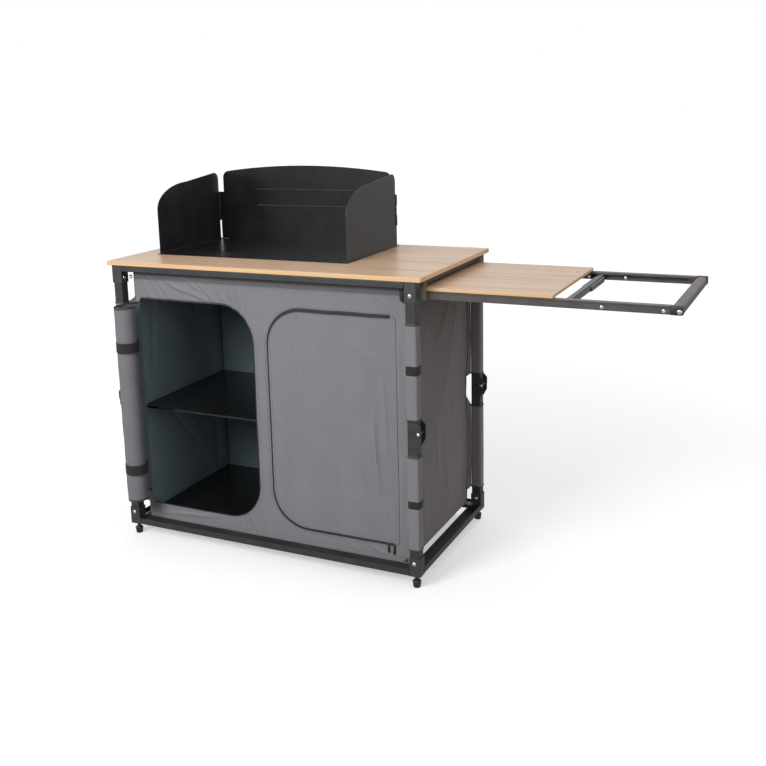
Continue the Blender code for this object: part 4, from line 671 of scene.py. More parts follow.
work = flat_cloth((-PANEL_X, PANEL_X), (HEM_LOW, HEM_HIGH), cell=2.4 * MM)
cut_out(work, lambda x, z: door_distance(x, z, LEFT_DOOR), 1)
cut_out(work, lambda x, z: door_distance(x, z, RIGHT_DOOR, grow=DOOR_GAP), 1)
front_cloth = hang(work, front_at, "front_cloth", "base", "cloth_front")
work = flat_cloth((RIGHT_DOOR[1], RIGHT_DOOR[0]), (DOOR_LOW, DOOR_HIGH))
cut_out(work, lambda x, z: door_distance(x, z, RIGHT_DOOR), -1)
right_door = hang(work, front_at, "right_door_cloth", "door", "door_right")

# %% [markdown]
# The back panel has no opening. Its across direction is mirrored, so that its faces look
# backwards, and its folds are slow and wide because nothing but the boards pulls at it.

# %% Back panel
BACK_LINES = (
    (-0.380, 0.760, -0.200, 0.600, 0.012, 0.0028), (0.390, 0.750, 0.240, 0.560, 0.012, 0.0028),
    (-0.300, 0.380, -0.260, 0.090, 0.014, 0.0026), (0.020, 0.360, -0.010, 0.080, 0.014, 0.0026),
    (0.220, 0.370, 0.250, 0.100, 0.014, 0.0026), (-0.100, 0.740, -0.060, 0.420, 0.013, 0.0024),
    (0.120, 0.750, 0.100, 0.410, 0.012, 0.0024),
)


def back_at(across, z, lift=0.0):
    x = -across
    hold = fade(z, HEM_LOW, 0.778, 0.10) * fade(x, -HALF_X, HALF_X, 0.08)
    pinned = fade(x, -HALF_X, HALF_X, SEAM) * fade(z, HEM_LOW, 0.782, SEAM)
    swell = 0.0030 * hold * wave(x, z, BACK_WAVE)
    swell += pinned * (creases(x, z, BACK_LINES) + ripple(x, z, 7.0, size=0.08))
    out = tug(z, HALF_X - abs(x))
    return Vector((x + math.copysign(out, x), FACE_Y + swell + out + lift, z))


work = flat_cloth((-PANEL_X, PANEL_X), (HEM_LOW, HEM_HIGH), cell=6 * MM)
back_cloth = hang(work, back_at, "back_cloth", "base", "cloth_back")

# %% [markdown]
# The side panels go on past the corner of the box as narrow flaps, which are sewn to the sleeves
# round the legs. Above the sleeves and at the knees the flaps are cut away. The coating stops at
# the corner seam, so the flaps show the grey outer cloth on both sides.

# %% Where a side panel hangs
CORNER_Y = HALF_Y + CLOTH
FLAP_Y, FLAP_X = 0.228, 0.4326
SIDE_LOW = 0.058
SIDE_LINES = {
    1: (
        (0.160, 0.800, -0.050, 0.560, 0.010, 0.0052), (0.168, 0.800, 0.000, 0.380, 0.009, 0.0044),
        (-0.180, 0.740, -0.120, 0.400, 0.014, 0.0026), (-0.090, 0.700, -0.130, 0.440, 0.012, 0.0022),
        (-0.150, 0.380, -0.110, 0.080, 0.014, 0.0028), (0.030, 0.380, 0.060, 0.080, 0.014, 0.0030),
        (0.150, 0.470, 0.080, 0.330, 0.012, 0.0030), (-0.040, 0.420, -0.010, 0.200, 0.012, 0.0024),
    ),
    -1: (
        (0.150, 0.760, 0.060, 0.560, 0.009, 0.0036), (0.060, 0.770, -0.020, 0.600, 0.009, 0.0032),
        (-0.120, 0.770, -0.150, 0.450, 0.010, 0.0030), (-0.110, 0.380, 0.060, 0.180, 0.009, 0.0036),
        (-0.030, 0.380, 0.110, 0.200, 0.010, 0.0030), (0.165, 0.300, 0.155, 0.090, 0.010, 0.0024),
    ),
}
SIDE_WAVES = {1: (0.2417, -0.4488), -1: (0.2417, 1.0472)}


def side_at(side):
    def point(across, z, lift=0.0):
        y = across * side
        run = (abs(y) - CORNER_Y) / (FLAP_Y - CORNER_Y)
        out = tug(z, CORNER_Y - abs(y))
        if run > 0:
            x = FACE_X + out + (FLAP_X - HALF_X - out) * run
            reach = CORNER_Y + out + (FLAP_Y - CORNER_Y - out) * run
            return Vector((side * (x + lift), math.copysign(reach, y), z))
        hold = fade(y, -CORNER_Y, CORNER_Y, 0.07) * fade(z, SIDE_LOW, 0.778, 0.12)
        pinned = fade(y, -CORNER_Y, CORNER_Y, SEAM) * fade(z, SIDE_LOW, 0.775, SEAM)
        swell = 0.0045 * hold * wave(y, z, SIDE_WAVES[side])
        swell += pinned * (creases(y, z, SIDE_LINES[side]) + ripple(y, z, 3.0 + side, size=0.07))
        return Vector((side * (FACE_X + swell + out + lift), y + math.copysign(out, y), z))
    return point


def flap_reach(z):
    """How far a flap goes past the box corner: fully at the sleeves, less at the knee."""
    full = FLAP_Y - CORNER_Y
    if z < LOW_SLEEVE[0]:
        return full * (1 - min(1.0, (LOW_SLEEVE[0] - z) / 0.010))
    if z > HIGH_SLEEVE[1]:
        return full * (1 - min(1.0, (z - HIGH_SLEEVE[1]) / 0.010))
    if LOW_SLEEVE[1] < z < HIGH_SLEEVE[0]:
        return full * (1 - min(1.0, (HIGH_SLEEVE[0] - z) / 0.008, (z - LOW_SLEEVE[1]) / 0.030))
    return full


def past_flap(y, z):
    """Metres from a point to the flap's outline, negative inside it."""
    return abs(y) - CORNER_Y - flap_reach(z) if abs(y) > CORNER_Y else -1.0


print("side flap:", round(flap_reach(0.2), 4), "m past the corner")

# %% Side panels
PANEL_AND_FLAPS = (SIDE_OXFORD, SIDE_LINER_PAINTED_LIGHT, SIDE_OXFORD, SIDE_OXFORD)  # outside and inside of each
side_cloths = []
for name, side, top in (("left", -1, HEM_HIGH), ("right", 1, 0.754)):
    work = flat_cloth((-FLAP_Y, FLAP_Y), (SIDE_LOW, top))
    for edge_y in (-CORNER_Y, CORNER_Y):
        whole = work.verts[:] + work.edges[:] + work.faces[:]
        bmesh.ops.bisect_plane(work, geom=whole, plane_co=(edge_y, 0, 0), plane_no=(1, 0, 0))
    cut_out(work, past_flap, -1)
    for patch in work.faces:
        if abs(patch.calc_center_median().x) > CORNER_Y:
            patch.material_index = 2
    cloth = hang(work, side_at(side), name + "_side_cloth", "base", "cloth_" + name, PANEL_AND_FLAPS)
    side_cloths.append(cloth)

# %% [markdown]
# Hems, zip tapes and stitches all follow a line on a panel. A ribbon is a grid whose long side
# runs along that line and whose short side is spread across it, laid on the panel with a small
# lift, so it takes every fold of the cloth below it.

# %% Lines on a panel
def straight(start, end, step=6 * MM):
    """Points on a straight line, a step apart, both ends included."""
    count = max(1, round(math.dist(start, end) / step))
    run_x, run_z = end[0] - start[0], end[1] - start[1]
    return [(start[0] + run_x * i / count, start[1] + run_z * i / count) for i in range(count + 1)]


def door_line(door, stop=0.0):
    """A door's outline from its sewn side along the top, round the free side and back below."""
    hinge, free = door[0] + math.copysign(stop, door[1] - door[0]), door[1]
    turn = math.copysign(ROUND, hinge - free)
    curve = [math.pi / 2 * i / 20 for i in range(1, 20)]
    line = straight((hinge, DOOR_HIGH), (free + turn, DOOR_HIGH))
    for angle in curve:
        line.append((free + turn * (1 - math.sin(angle)), DOOR_HIGH - ROUND * (1 - math.cos(angle))))
    line += straight((free, DOOR_HIGH - ROUND), (free, DOOR_LOW + ROUND))
    for angle in curve:
        line.append((free + turn * (1 - math.cos(angle)), DOOR_LOW + ROUND * (1 - math.sin(angle))))
    return line + straight((free + turn, DOOR_LOW), (hinge, DOOR_LOW))


def side_steps(line):
    """Unit steps to the left of a line at each of its points."""
    steps = []
    for i in range(len(line)):
        before, after = line[max(0, i - 1)], line[min(len(line) - 1, i + 1)]
        run = Vector((after[0] - before[0], after[1] - before[1])).normalized()
        steps.append(Vector((-run.y, run.x)))
    return steps


def runs_along(line):
    """Metres from a line's start to each of its points."""
    runs = [0.0]
    for a, b in zip(line, line[1:]):
        runs.append(runs[-1] + math.dist(a, b))
    return runs


print("left door's line:", round(runs_along(door_line(LEFT_DOOR))[-1], 3), "m long")

# %% Ribbons
def ribbon(line, spread, point, lift, across=2):
    """A strip along a line: spread gives its two edges, to the line's left, at each share of it."""
    steps, runs, last = side_steps(line), runs_along(line), len(line) - 1

    def beside(along, share):
        edges = spread(runs[round(along * last)] / runs[-1])
        return edges[0] + (edges[1] - edges[0]) * share

    def place_at(along, share):
        index = round(along * last)
        off = steps[index] * beside(along, share)
        return point(line[index][0] + off.x, line[index][1] + off.y, lift)

    def cloth_at(along, share):
        return runs[round(along * last)], beside(along, share)

    return bend(grid(last, across), place_at, cloth_at)

# %% [markdown]
# Stitches and zip teeth are small blocks at even steps along a line. Each one lies in the cloth:
# its first axis runs along the line and its second across it, both felt out on the hung panel.

# %% Rows of blocks
def blocks(line, offset, point, lift, pitch, size, start=0.0):
    """Small blocks along a line, such as stitches or zip teeth: size is along, across and high."""
    steps = side_steps(line)
    work = bmesh.new()
    travelled, wanted = 0.0, start
    for i in range(len(line) - 1):
        length = math.dist(line[i], line[i + 1])
        while wanted < travelled + length:
            share = (wanted - travelled) / length
            off = steps[i].lerp(steps[i + 1], share) * offset
            x = line[i][0] + (line[i + 1][0] - line[i][0]) * share + off.x
            z = line[i][1] + (line[i + 1][1] - line[i][1]) * share + off.y
            run = Vector((line[i + 1][0] - line[i][0], line[i + 1][1] - line[i][1])) / length
            here = point(x, z, lift)
            ahead = (point(x + run.x * MM, z + run.y * MM, lift) - here).normalized()
            over = (point(x - run.y * MM, z + run.x * MM, lift) - here).normalized()
            out = ahead.cross(over).normalized()
            turn = Matrix((ahead, over, out)).transposed().to_4x4()
            shape = Matrix.Translation(here) @ turn @ Matrix.Diagonal((*size, 1))
            bmesh.ops.create_cube(work, size=1.0, matrix=shape)
            wanted += pitch
        travelled += length
    return work

# %% [markdown]
# The doors close with a long coil zip. Its tape is sewn half to the door and half to the panel,
# dark against the grey, widest along the top where the door hangs slack. The left door is
# open, so only the panel's half is seen there, as a thin dark edge round the opening.

# %% Zips
def tape_width(share):
    """Half the width of the zip's tape along the right door, wide on top and narrow at the side."""
    if share < 0.36:
        return 5.6 * MM - 3.4 * MM * fade(share, 0.20, 2.0, 0.16)
    return 2.2 * MM + 1.5 * MM * fade(share, 0.62, 2.0, 0.14)


right_line = door_line(RIGHT_DOOR, stop=0.015)
left_line = door_line(LEFT_DOOR, stop=0.006)
for name, body, line, spread, wall in (
    ("zip_tape_panel", "base", right_line, lambda s: (-tape_width(s), -0.3 * MM), 0.7 * MM),
    ("zip_tape_door", "door", right_line, lambda s: (0.3 * MM, tape_width(s)), 0.7 * MM),
    ("zip_tape_opening", "base", left_line,
     lambda s: (-0.4 * MM, 4.4 * MM - 2.2 * MM * fade(s, 0.20, 2.0, 0.16)), 0.9 * MM),
):
    work = ribbon(line, spread, front_at, 0.5 * MM)
    folds_flat(thicken(piece(work, name, body, (ZIP_TAPE,)), wall))
TOOTH = (1.3 * MM, 1.7 * MM, 1.0 * MM)
for name, body, line, offset, lift, start in (
    ("zip_teeth_panel", "base", right_line, -0.7 * MM, 0.9 * MM, 0.0),
    ("zip_teeth_door", "door", right_line, 0.7 * MM, 0.9 * MM, TOOTH[0]),
    ("zip_teeth_opening", "base", left_line, -0.3 * MM, 0.3 * MM, 0.0),
):
    work = blocks(line, offset, front_at, lift, 2 * TOOTH[0], TOOTH, start)
    folds_flat(piece(work, name, body, (COIL,)))

# %% [markdown]
# Hems: the cloth's edge is turned over and sewn down, which makes a double band with a row of
# stitches near its inner edge. Round both openings the second layer lies on the inside, so only
# its stitches are made.

# %% Hems and stitches
HEM_TOP, HEM_EDGE = 0.797, 0.7675


def hem_at(x, z, lift=0.0):
    """The top hem: it leaves the panel at its lower edge and goes up in front of the rail's lip."""
    spot = front_at(x, z, lift)
    share = max(0.0, min(1.0, (z - HEM_EDGE) / 0.008))
    share = share * share * (3 - 2 * share)
    soft = fade(x, -HALF_X, HALF_X, SEAM) * (creases(x, z, FRONT_LINES) + ripple(x, z, 1.0, rise=0.0007))
    spot.y = (1 - share) * spot.y + share * (-FACE_Y - 3.4 * MM - soft - lift)
    return spot


HEM_X, HEM_MIDDLE, HALF_HEM = HALF_X - 0.002, (HEM_TOP + HEM_EDGE) / 2, (HEM_TOP - HEM_EDGE) / 2
top_line = straight((HEM_X, HEM_MIDDLE), (-HEM_X, HEM_MIDDLE), step=2.6 * MM)
low_line = straight((-HEM_X, HEM_LOW + 0.010), (HEM_X, HEM_LOW + 0.010))
back_line = straight((HEM_X, 0.779), (-HEM_X, 0.779))
for name, line, half, point, rows in (
    ("hem_front_top", top_line, HALF_HEM, hem_at, 12),
    ("hem_front_bottom", low_line, 9 * MM, front_at, 4),
    ("hem_back_top", back_line, 9.5 * MM, back_at, 4),
):
    work = ribbon(line, lambda s: (-half, half), point, 0.7 * MM, across=rows)
    folds_flat(thicken(piece(work, name, "base", (OXFORD,)), 0.8 * MM))
STITCH, STITCH_PITCH = (3.0 * MM, 0.6 * MM, 0.5 * MM), 4.2 * MM
for name, body, rows in (
    ("stitches_front_hems", "base", ((top_line, HALF_HEM - 2.0 * MM), (low_line, 7.0 * MM))),
    ("stitches_openings", "base", ((right_line, -9.0 * MM), (left_line, 8.5 * MM), (right_line, -6.2 * MM))),
    ("stitches_door", "door", ((right_line, 8.0 * MM),)),
):
    work = bmesh.new()
    for line, offset in rows:
        lift = 0.9 * MM if line in (top_line, low_line) else 0.15 * MM
        point = hem_at if line is top_line else front_at
        pour(blocks(line, offset, point, lift, STITCH_PITCH, STITCH), work)
    folds_flat(piece(work, name, body, (THREAD,)))

# %% [markdown]
# The left door is open: rolled up sideways towards its sewn edge and held by two straps. A roll
# is one sheet, so it is modelled as one: a grid whose long side follows a spiral seen from
# above, from the sewn edge forwards and then round and inwards. The straps squeeze it to a
# waist. The rounded free side ends up inside, so the inner turns are shorter than the outer.

# %% The roll's spiral
ROLL = Vector((-0.405, -0.283))
ROLL_R, WAIST_R, TURN_PITCH = 0.0312, 0.0298, 5.6 * MM
ROLL_Z = (0.128, 0.704)
STRAP_Z = (0.226, 0.586)
TURNS, STEPS_ROUND, WEB_STEPS = 2.9, 200, 8
WEB_START = Vector((LEFT_DOOR[0] - 0.001, -FACE_Y - 0.4 * MM))


def on_roll(radius, angle):
    """A point round the roll's middle, seen from above."""
    return ROLL + radius * Vector((math.cos(angle), math.sin(angle)))


to_roll = ROLL - WEB_START
touch_angle = math.atan2(-to_roll.y, -to_roll.x) + math.acos(ROLL_R / to_roll.length)
touch = on_roll(ROLL_R, touch_angle)
spiral = [WEB_START.lerp(touch, i / WEB_STEPS) for i in range(WEB_STEPS)]
for i in range(STEPS_ROUND + 1):
    angle = TURNS * 2 * math.pi * i / STEPS_ROUND
    spiral.append(on_roll(ROLL_R - TURN_PITCH * angle / (2 * math.pi), touch_angle + angle))
spiral_runs = runs_along(spiral)
ROLL_LENGTH = spiral_runs[-1]
print("rolled door, cloth length:", round(ROLL_LENGTH, 3))

# %% Rolled door
def roll_ends(run):
    """The sheet's lower and upper edge at a run along it: its free corners are round."""
    left = max(0.0, ROUND - (ROLL_LENGTH - run))
    drop = ROUND - math.sqrt(max(0.0, ROUND ** 2 - left ** 2))
    sag = 3.5 * MM * math.sin(run / ROLL_LENGTH * 23)
    return ROLL_Z[0] + drop + 2 * MM + 0.4 * sag, ROLL_Z[1] - drop - 2 * MM + 0.3 * sag


def roll_squeeze(z, share):
    """How much of its radius the roll keeps at a height: less at the straps, and lumpy between."""
    waist = sum(math.exp(-((z - strap) / 0.022) ** 2) for strap in STRAP_Z)
    lump = 0.012 * math.sin(z * 31 + share * 9) + 0.010 * math.sin(z * 73 + share * 5)
    return 1.0 - (1.0 - WAIST_R / ROLL_R) * waist + lump * (1 - min(1.0, waist)) - 0.012


def roll_cloth_at(along, share):
    run = spiral_runs[round(along * (len(spiral) - 1))]
    low_z, high_z = roll_ends(run)
    return run, low_z + (high_z - low_z) * share


def roll_at(along, share):
    index = round(along * (len(spiral) - 1))
    run, z = roll_cloth_at(along, share)
    if index > WEB_STEPS:
        spot = ROLL + (spiral[index] - ROLL) * roll_squeeze(z, run / ROLL_LENGTH)
    else:
        spot = WEB_START.lerp(ROLL + (touch - ROLL) * roll_squeeze(z, 0), index / WEB_STEPS)
    return Vector((spot.x, spot.y, z))


work = grid(len(spiral) - 1, 92)
for face in work.faces:
    height = face.calc_center_median().y + 0.5
    near_end = min(height, 1 - height) * (ROLL_Z[1] - ROLL_Z[0])
    face.material_index = 2 if near_end < 7 * MM else 0
bend(work, roll_at, roll_cloth_at)
rolled = piece(work, "rolled_door_cloth", "base", (ROLL_PAINTED_SHADE, LINER_PAINTED_DARK, ZIP_TAPE))
thicken(rolled, 1.0 * MM, lining=1, offset=1.0)
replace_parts(rolled, "door_left_rolled")

# %% [markdown]
# Two webbing straps hold the roll: each is sewn to the panel behind it, goes once round the
# roll and closes on itself.

# %% Roll straps
STRAP_WIDE, TAIL_X = 29 * MM, -0.4155


def strap(name, middle):
    """A strap whose middle is at this height: its tail first, then a turn and a bit."""
    radius = WAIST_R + 1.2 * MM
    start = math.acos((TAIL_X - ROLL.x) / radius)
    tail = Vector((TAIL_X, -FACE_Y - 0.4 * MM))
    line = [tail.lerp(on_roll(radius, start), i / 6) for i in range(6)]
    for i in range(61):
        angle = 2 * math.pi * 1.12 * i / 60
        grown = min(max(0.0, angle - 2 * math.pi + 0.35) * 3.2 * MM, 1.5 * MM)
        line.append(on_roll(radius + grown, start + angle))
    runs, last = runs_along(line), len(line) - 1

    def place_at(along, share):
        spot = line[round(along * last)]
        return Vector((spot.x, spot.y, middle + (share - 0.5) * STRAP_WIDE))

    def cloth_at(along, share):
        return runs[round(along * last)], (share - 0.5) * STRAP_WIDE

    work = bend(grid(last, 6), place_at, cloth_at)
    return thicken(piece(work, name, "base", (WEBBING,)), 1.3 * MM, offset=1.0)


for name, node, middle in (
    ("roll_strap_low", "door_strap_lower", STRAP_Z[0]),
    ("roll_strap_high", "door_strap_upper", STRAP_Z[1]),
):
    thing = strap(name, middle)
    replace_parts(thing, node)
    folds_flat(thing)

# %% [markdown]
# Each leg wears two padded-looking cloth sleeves, above and below its knee. A sleeve is a tube
# with softly rounded corners: a ring of points on a superellipse, repeated up the leg. It is a
# little wider in its middle, and has a dark binding at both ends. The two front legs have an
# elastic band round each sleeve as well.

# %% Leg sleeves
LEG_X, LEG_Y = 0.4492, 0.2380
LEGS = {"fl": (-1, -1), "fr": (1, -1), "bl": (-1, 1), "br": (1, 1)}
SLEEVE_HALF, SLEEVE_ROUND = 0.0155, 0.118
SQUARENESS = 5.0


def tube(centre, span, half, levels, bulge, seed):
    """A soft square tube: its UV map runs round it and up it, in metres."""
    def cloth_at(around, share):
        return around * SLEEVE_ROUND, span[0] + (span[1] - span[0]) * share

    def place_at(around, share):
        angle = 2 * math.pi * around + math.pi / 4
        c, s = math.cos(angle), math.sin(angle)
        reach = half / (abs(c) ** SQUARENESS + abs(s) ** SQUARENESS) ** (1 / SQUARENESS)
        z = span[0] + (span[1] - span[0]) * share
        soft = bulge * math.sin(math.pi * share) ** 0.5
        soft += 0.35 * bulge * noise.noise(Vector((c * 2, s * 2, z * 22 + seed)))
        return Vector((centre[0] + (reach + soft) * c, centre[1] + (reach + soft) * s, z))

    work = bend(grid(64, levels), place_at, cloth_at)
    bmesh.ops.remove_doubles(work, verts=work.verts, dist=1e-6)
    bmesh.ops.recalc_face_normals(work, faces=work.faces)
    return work


BINDING = 0.004
seed = 0.0
for key, (side, front) in LEGS.items():
    centre = (side * LEG_X, front * LEG_Y)
    for level, span, band in (("lower", LOW_SLEEVE, (0.221, 0.241)), ("upper", HIGH_SLEEVE, (0.574, 0.598))):
        seed += 3.7
        body = level + "_leg_" + key
        work = tube(centre, span, SLEEVE_HALF, 60, 0.5 * MM, seed)
        thing = piece(work, f"leg_sleeve_{level}_{key}", body, (SLEEVE_CLOTH,))
        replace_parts(thicken(thing, 1.0 * MM), f"sleeve_{level}_{key}")
        rings = [
            ("binding_low", (span[0], span[0] + BINDING), ZIP_TAPE),
            ("binding_high", (span[1] - BINDING, span[1]), ZIP_TAPE),
        ]
        if front < 0:
            rings.append(("band", band, WEBBING))
        for part, part_span, made in rings:
            work = tube(centre, part_span, SLEEVE_HALF + 1.1 * MM, 6, 0.3 * MM, seed)
            thicken(piece(work, f"sleeve_{part}_{level}_{key}", body, (made,)), 0.9 * MM)

# %% [markdown]
# Rivets hold the brackets, knees and slides. A rivet head is turned, so it is spun: half its
# outline, from the middle of its crown down to its rim, goes once round its axis. A spin makes
# its faces in another order each time, so they are put in order, ring by ring.

# %% A rivet head
def ring_order(face):
    """A number that grows from the rim to the crown, and along each ring."""
    middle = face.calc_center_median()
    return round(middle.z / MM, 3) * 100 + math.atan2(middle.y, middle.x)


def rivet(work, centre, outward, radius, height):
    """Adds a domed rivet head to work, facing along outward."""
    head = bmesh.new()
    line = []
    for angle in (math.radians(d) for d in (0, 22, 45, 68, 90)):
        line.append(head.verts.new((radius * math.sin(angle), 0, height * math.cos(angle))))
    line.append(head.verts.new((radius, 0, -0.4 * MM)))
    edges = [head.edges.new(pair) for pair in zip(line, line[1:])]
    bmesh.ops.spin(
        head, geom=line + edges, axis=(0, 0, 1), cent=(0, 0, 0), dvec=(0, 0, 0),
        angle=2 * math.pi, steps=20, use_merge=True)
    bmesh.ops.remove_doubles(head, verts=head.verts, dist=1e-6)
    head.faces.sort(key=ring_order)
    bmesh.ops.recalc_face_normals(head, faces=head.faces)
    turn = Vector((0, 0, 1)).rotation_difference(Vector(outward)).to_matrix()
    bmesh.ops.rotate(head, matrix=turn, cent=(0, 0, 0), verts=head.verts)
    bmesh.ops.translate(head, vec=centre, verts=head.verts)
    pour(head, work)

# %% Rivets
HEAD_OUT, KNEE_HEAD_OUT, KNEE_X, KNEE_Z = 0.0177, 0.0193, LEG_X + 0.018, 0.423
BRACKET_HEAD, TABLE_HEAD, KNEE_HEAD = (5.4 * MM, 1.6 * MM), (4.2 * MM, 0.9 * MM), (4.6 * MM, 1.5 * MM)
TABLE_RIVETS = ((0.906, -0.206), (1.044, -0.206), (0.784, 0.184), (0.881, 0.184))
rivet_work = {"top": bmesh.new(), "base": bmesh.new(), "side_table": bmesh.new()}
for side in (-1, 1):
    for front in (-1, 1):
        for face in (-1, 1):
            for body, z in (("top", 0.776), ("base", 0.070)):
                spot, outward = (side * LEG_X, front * LEG_Y + face * HEAD_OUT, z), (0, face, 0)
                if body == "top" and (side, front, face) == (-1, -1, -1):
                    # the front left bracket has its outer rivet on its side that faces right
                    spot, outward = (-LEG_X + HEAD_OUT, -LEG_Y - 0.004, z), (1, 0, 0)
                rivet(rivet_work[body], spot, outward, *BRACKET_HEAD)
for x, y in TABLE_RIVETS:
    rivet(rivet_work["side_table"], (x, y, 0.7684), (0, -1, 0), *TABLE_HEAD)
for body, work in rivet_work.items():
    piece(work, "rivets_" + body, body, (ZINC,))
for key, (side, front) in LEGS.items():
    work = bmesh.new()
    for face in (-1, 1):
        spot = (side * KNEE_X, front * LEG_Y + face * KNEE_HEAD_OUT, KNEE_Z)
        rivet(work, spot, (0, face, 0), *KNEE_HEAD)
    piece(work, "rivets_knee_" + key, "upper_leg_" + key, (ZINC,))

# %% [markdown]
# Round things that follow a line, such as piping and hooks, are made as a hose is: a ring of
# points is carried along the line. Here that is a grid again, wrapped round the line, and its
# two long edges are merged.

# %% A pipe along a line
def pipe(work, line, radius, around=10):
    """Adds a round bar along a line of points to work, with closed ends."""
    last = len(line) - 1

    def place_at(turned, along):
        index = round(along * last)
        ahead = (line[min(index + 1, last)] - line[max(index - 1, 0)]).normalized()
        beside = ahead.cross(Vector((0.13, 0.97, 0.21))).normalized()
        over = ahead.cross(beside)
        angle = 2 * math.pi * turned
        return line[index] + radius * (math.cos(angle) * beside + math.sin(angle) * over)

    def cloth_at(turned, along):
        return (turned - 0.5) * radius * 6.3, (along - 0.5) * len(line) * 0.004

    hose = bend(grid(around, last), place_at, cloth_at)
    bmesh.ops.remove_doubles(hose, verts=hose.verts, dist=1e-6)
    bmesh.ops.holes_fill(hose, edges=[e for e in hose.edges if e.is_boundary], sides=0)
    bmesh.ops.recalc_face_normals(hose, faces=hose.faces)
    pour(hose, work)

# %% A rounded block
def block(work, centre, size, bevel):
    """Adds a box with rounded edges to work."""
    box = bmesh.new()
    bmesh.ops.create_cube(box, size=1.0)
    bmesh.ops.scale(box, vec=size, verts=box.verts)
    bmesh.ops.bevel(
        box, geom=box.edges[:], offset=bevel, offset_type="OFFSET", affect="EDGES",
        segments=3, profile=0.5, material=-1)
    bmesh.ops.translate(box, vec=centre, verts=box.verts)
    pour(box, work)


def spaced(start, end, count):
    """Numbers from start to end in count equal steps."""
    return [start + (end - start) * i / count for i in range(count + 1)]

# %% [markdown]
# The box is sewn along the upright edges of its right end over a thin dark piping, and inside
# all four seams are bound with tape. The boards cut the inner ones in two.

# %% Piping
PIPING = woven("dark_piping", "#3b3634", "#4a4441", pitch=1.1 * MM, depth=0.08)
SEAM_X, SEAM_Y = 0.4195, 0.2095
work = bmesh.new()
for front in (-1, 1):
    line = []
    for z in spaced(0.062, 0.752, 120):
        out = tug(z, 0.0) + 0.0004 * math.sin(z * 90)
        line.append(Vector((FACE_X + out, front * (FACE_Y + 0.0010 + out), z)))
    pipe(work, line, 1.5 * MM)
folds_flat(piece(work, "corner_piping", "base", (PIPING,)))
work = bmesh.new()
for side in (-1, 1):
    for front in (-1, 1):
        for span in ((0.066, 0.383), (0.393, 0.772)):
            pipe(work, [Vector((side * SEAM_X, front * SEAM_Y, z)) for z in spaced(*span, 40)], 1.6 * MM)
folds_flat(piece(work, "inner_seams", "base", (PIPING,)))

# %% [markdown]
# Small fittings: two zip pulls at the end of the right door's zip, the rings, tabs and hooks
# that hold the cupboard's corners to the frame, the black joints that close the ends of the
# pull-out handle, the pressed beads on the windscreen's back that keep it stiff, and the rolled
# edges on which its wings stand.

# %% Zip pulls
work = bmesh.new()
for x, z, long in ((0.3605, 0.0925, 0.020), (0.3765, 0.0915, 0.022)):
    spot = front_at(x, z, 2.2 * MM)
    block(work, spot, (7 * MM, 3.4 * MM, 8 * MM), 1.2 * MM)
    block(work, spot + Vector((0, -1.2 * MM, -0.5 * long - 2 * MM)), (5.5 * MM, 2.0 * MM, long), 0.9 * MM)
folds_flat(piece(work, "zip_pulls", "door", (COIL,)))

# %% Corner hooks
def arc_bar(work, centre, radius, start, stop, thick):
    """Adds a bent bar round a centre, in an upright plane that faces forwards. Angles in degrees."""
    line = []
    for angle in (math.radians(a) for a in spaced(start, stop, 20)):
        line.append(Vector(centre) + radius * Vector((math.cos(angle), 0, math.sin(angle))))
    pipe(work, line, thick, around=8)


work = bmesh.new()
for front in (-1, 1):
    arc_bar(work, (-0.4310, front * 0.2150, 0.7735), 4.4 * MM, -150, 170, 1.7 * MM)
    arc_bar(work, (0.4255, front * 0.2150, 0.7705), 3.6 * MM, -120, 120, 1.0 * MM)
piece(work, "corner_rings", "top", (ZINC,))
work = bmesh.new()
for front in (-1, 1):
    block(work, (0.4112, front * 0.2186, 0.7715), (8.6 * MM, 1.8 * MM, 33 * MM), 0.7 * MM)
    arc_bar(work, (0.4155, front * 0.2190, 0.7555), 3.4 * MM, 170, 360, 1.3 * MM)
folds_flat(piece(work, "corner_tabs", "base", (NYLON,)))
work = bmesh.new()
for x in (-0.4270, 0.4080):
    for front in (-1, 1):
        arc_bar(work, (x, front * (FACE_Y + 2.4 * MM), 0.0570), 4.2 * MM, -170, 100, 1.6 * MM)
piece(work, "bottom_hooks", "base", (NYLON,))

# %% Handle joints
work = bmesh.new()
for front in (-1, 1):
    block(work, (1.0721, front * 0.1975, 0.7712), (28.8 * MM, 18 * MM, 21.4 * MM), 3 * MM)
piece(work, "handle_joints", "side_table", (NYLON,))
work = bmesh.new()
for front in (-1, 1):
    rivet(work, (1.0785, front * 0.2065, 0.7690), (0, front, 0), 5.6 * MM, 1.6 * MM)
piece(work, "rivets_handle", "side_table", (ZINC,))

# %% Windscreen beads and edges
FRONT_OF_BACK = 0.2290 - 0.6 * MM
work = bmesh.new()
for z in (0.984, 0.934):
    pipe(work, [Vector((x, FRONT_OF_BACK, z)) for x in spaced(-0.268, 0.066, 40)], 1.7 * MM, around=12)
# The beads wear the lit copy of the enamel, so they are painted lighter than the back, as painted highlight
# lines.
piece(work, "screen_beads", "top", (LIT_ENAMEL,))
for body, x, y in (("wing_left", -0.408, 0.064), ("wing_right", 0.206, 0.0605)):
    work = bmesh.new()
    block(work, (x, y, 0.8257), (5.2 * MM, 327 * MM, 1.9 * MM), 0.4 * MM)
    piece(work, body + "_edge", body, (LIT_ENAMEL,))

# %% Own meshes for the sheets
for thing in (front_cloth, right_door, back_cloth, rolled, *side_cloths):
    folds_flat(thing)

# %% [markdown]
# The floor is a plain pale sheet, and so is the sky. Light comes softly from in front, as it did
# in the photograph: the front is brighter than the right side, and its lower part is a little
# darker than its top. A square lamp three metres away gives both, a wide one overhead lights
# the tops and lays the shadow forwards, and a weak one at the right stands in for the white card
# that keeps that side from going black. An even sky fills the shade. The floor is white only to
# the camera: what it throws back on the object is what a dark grey studio floor would.

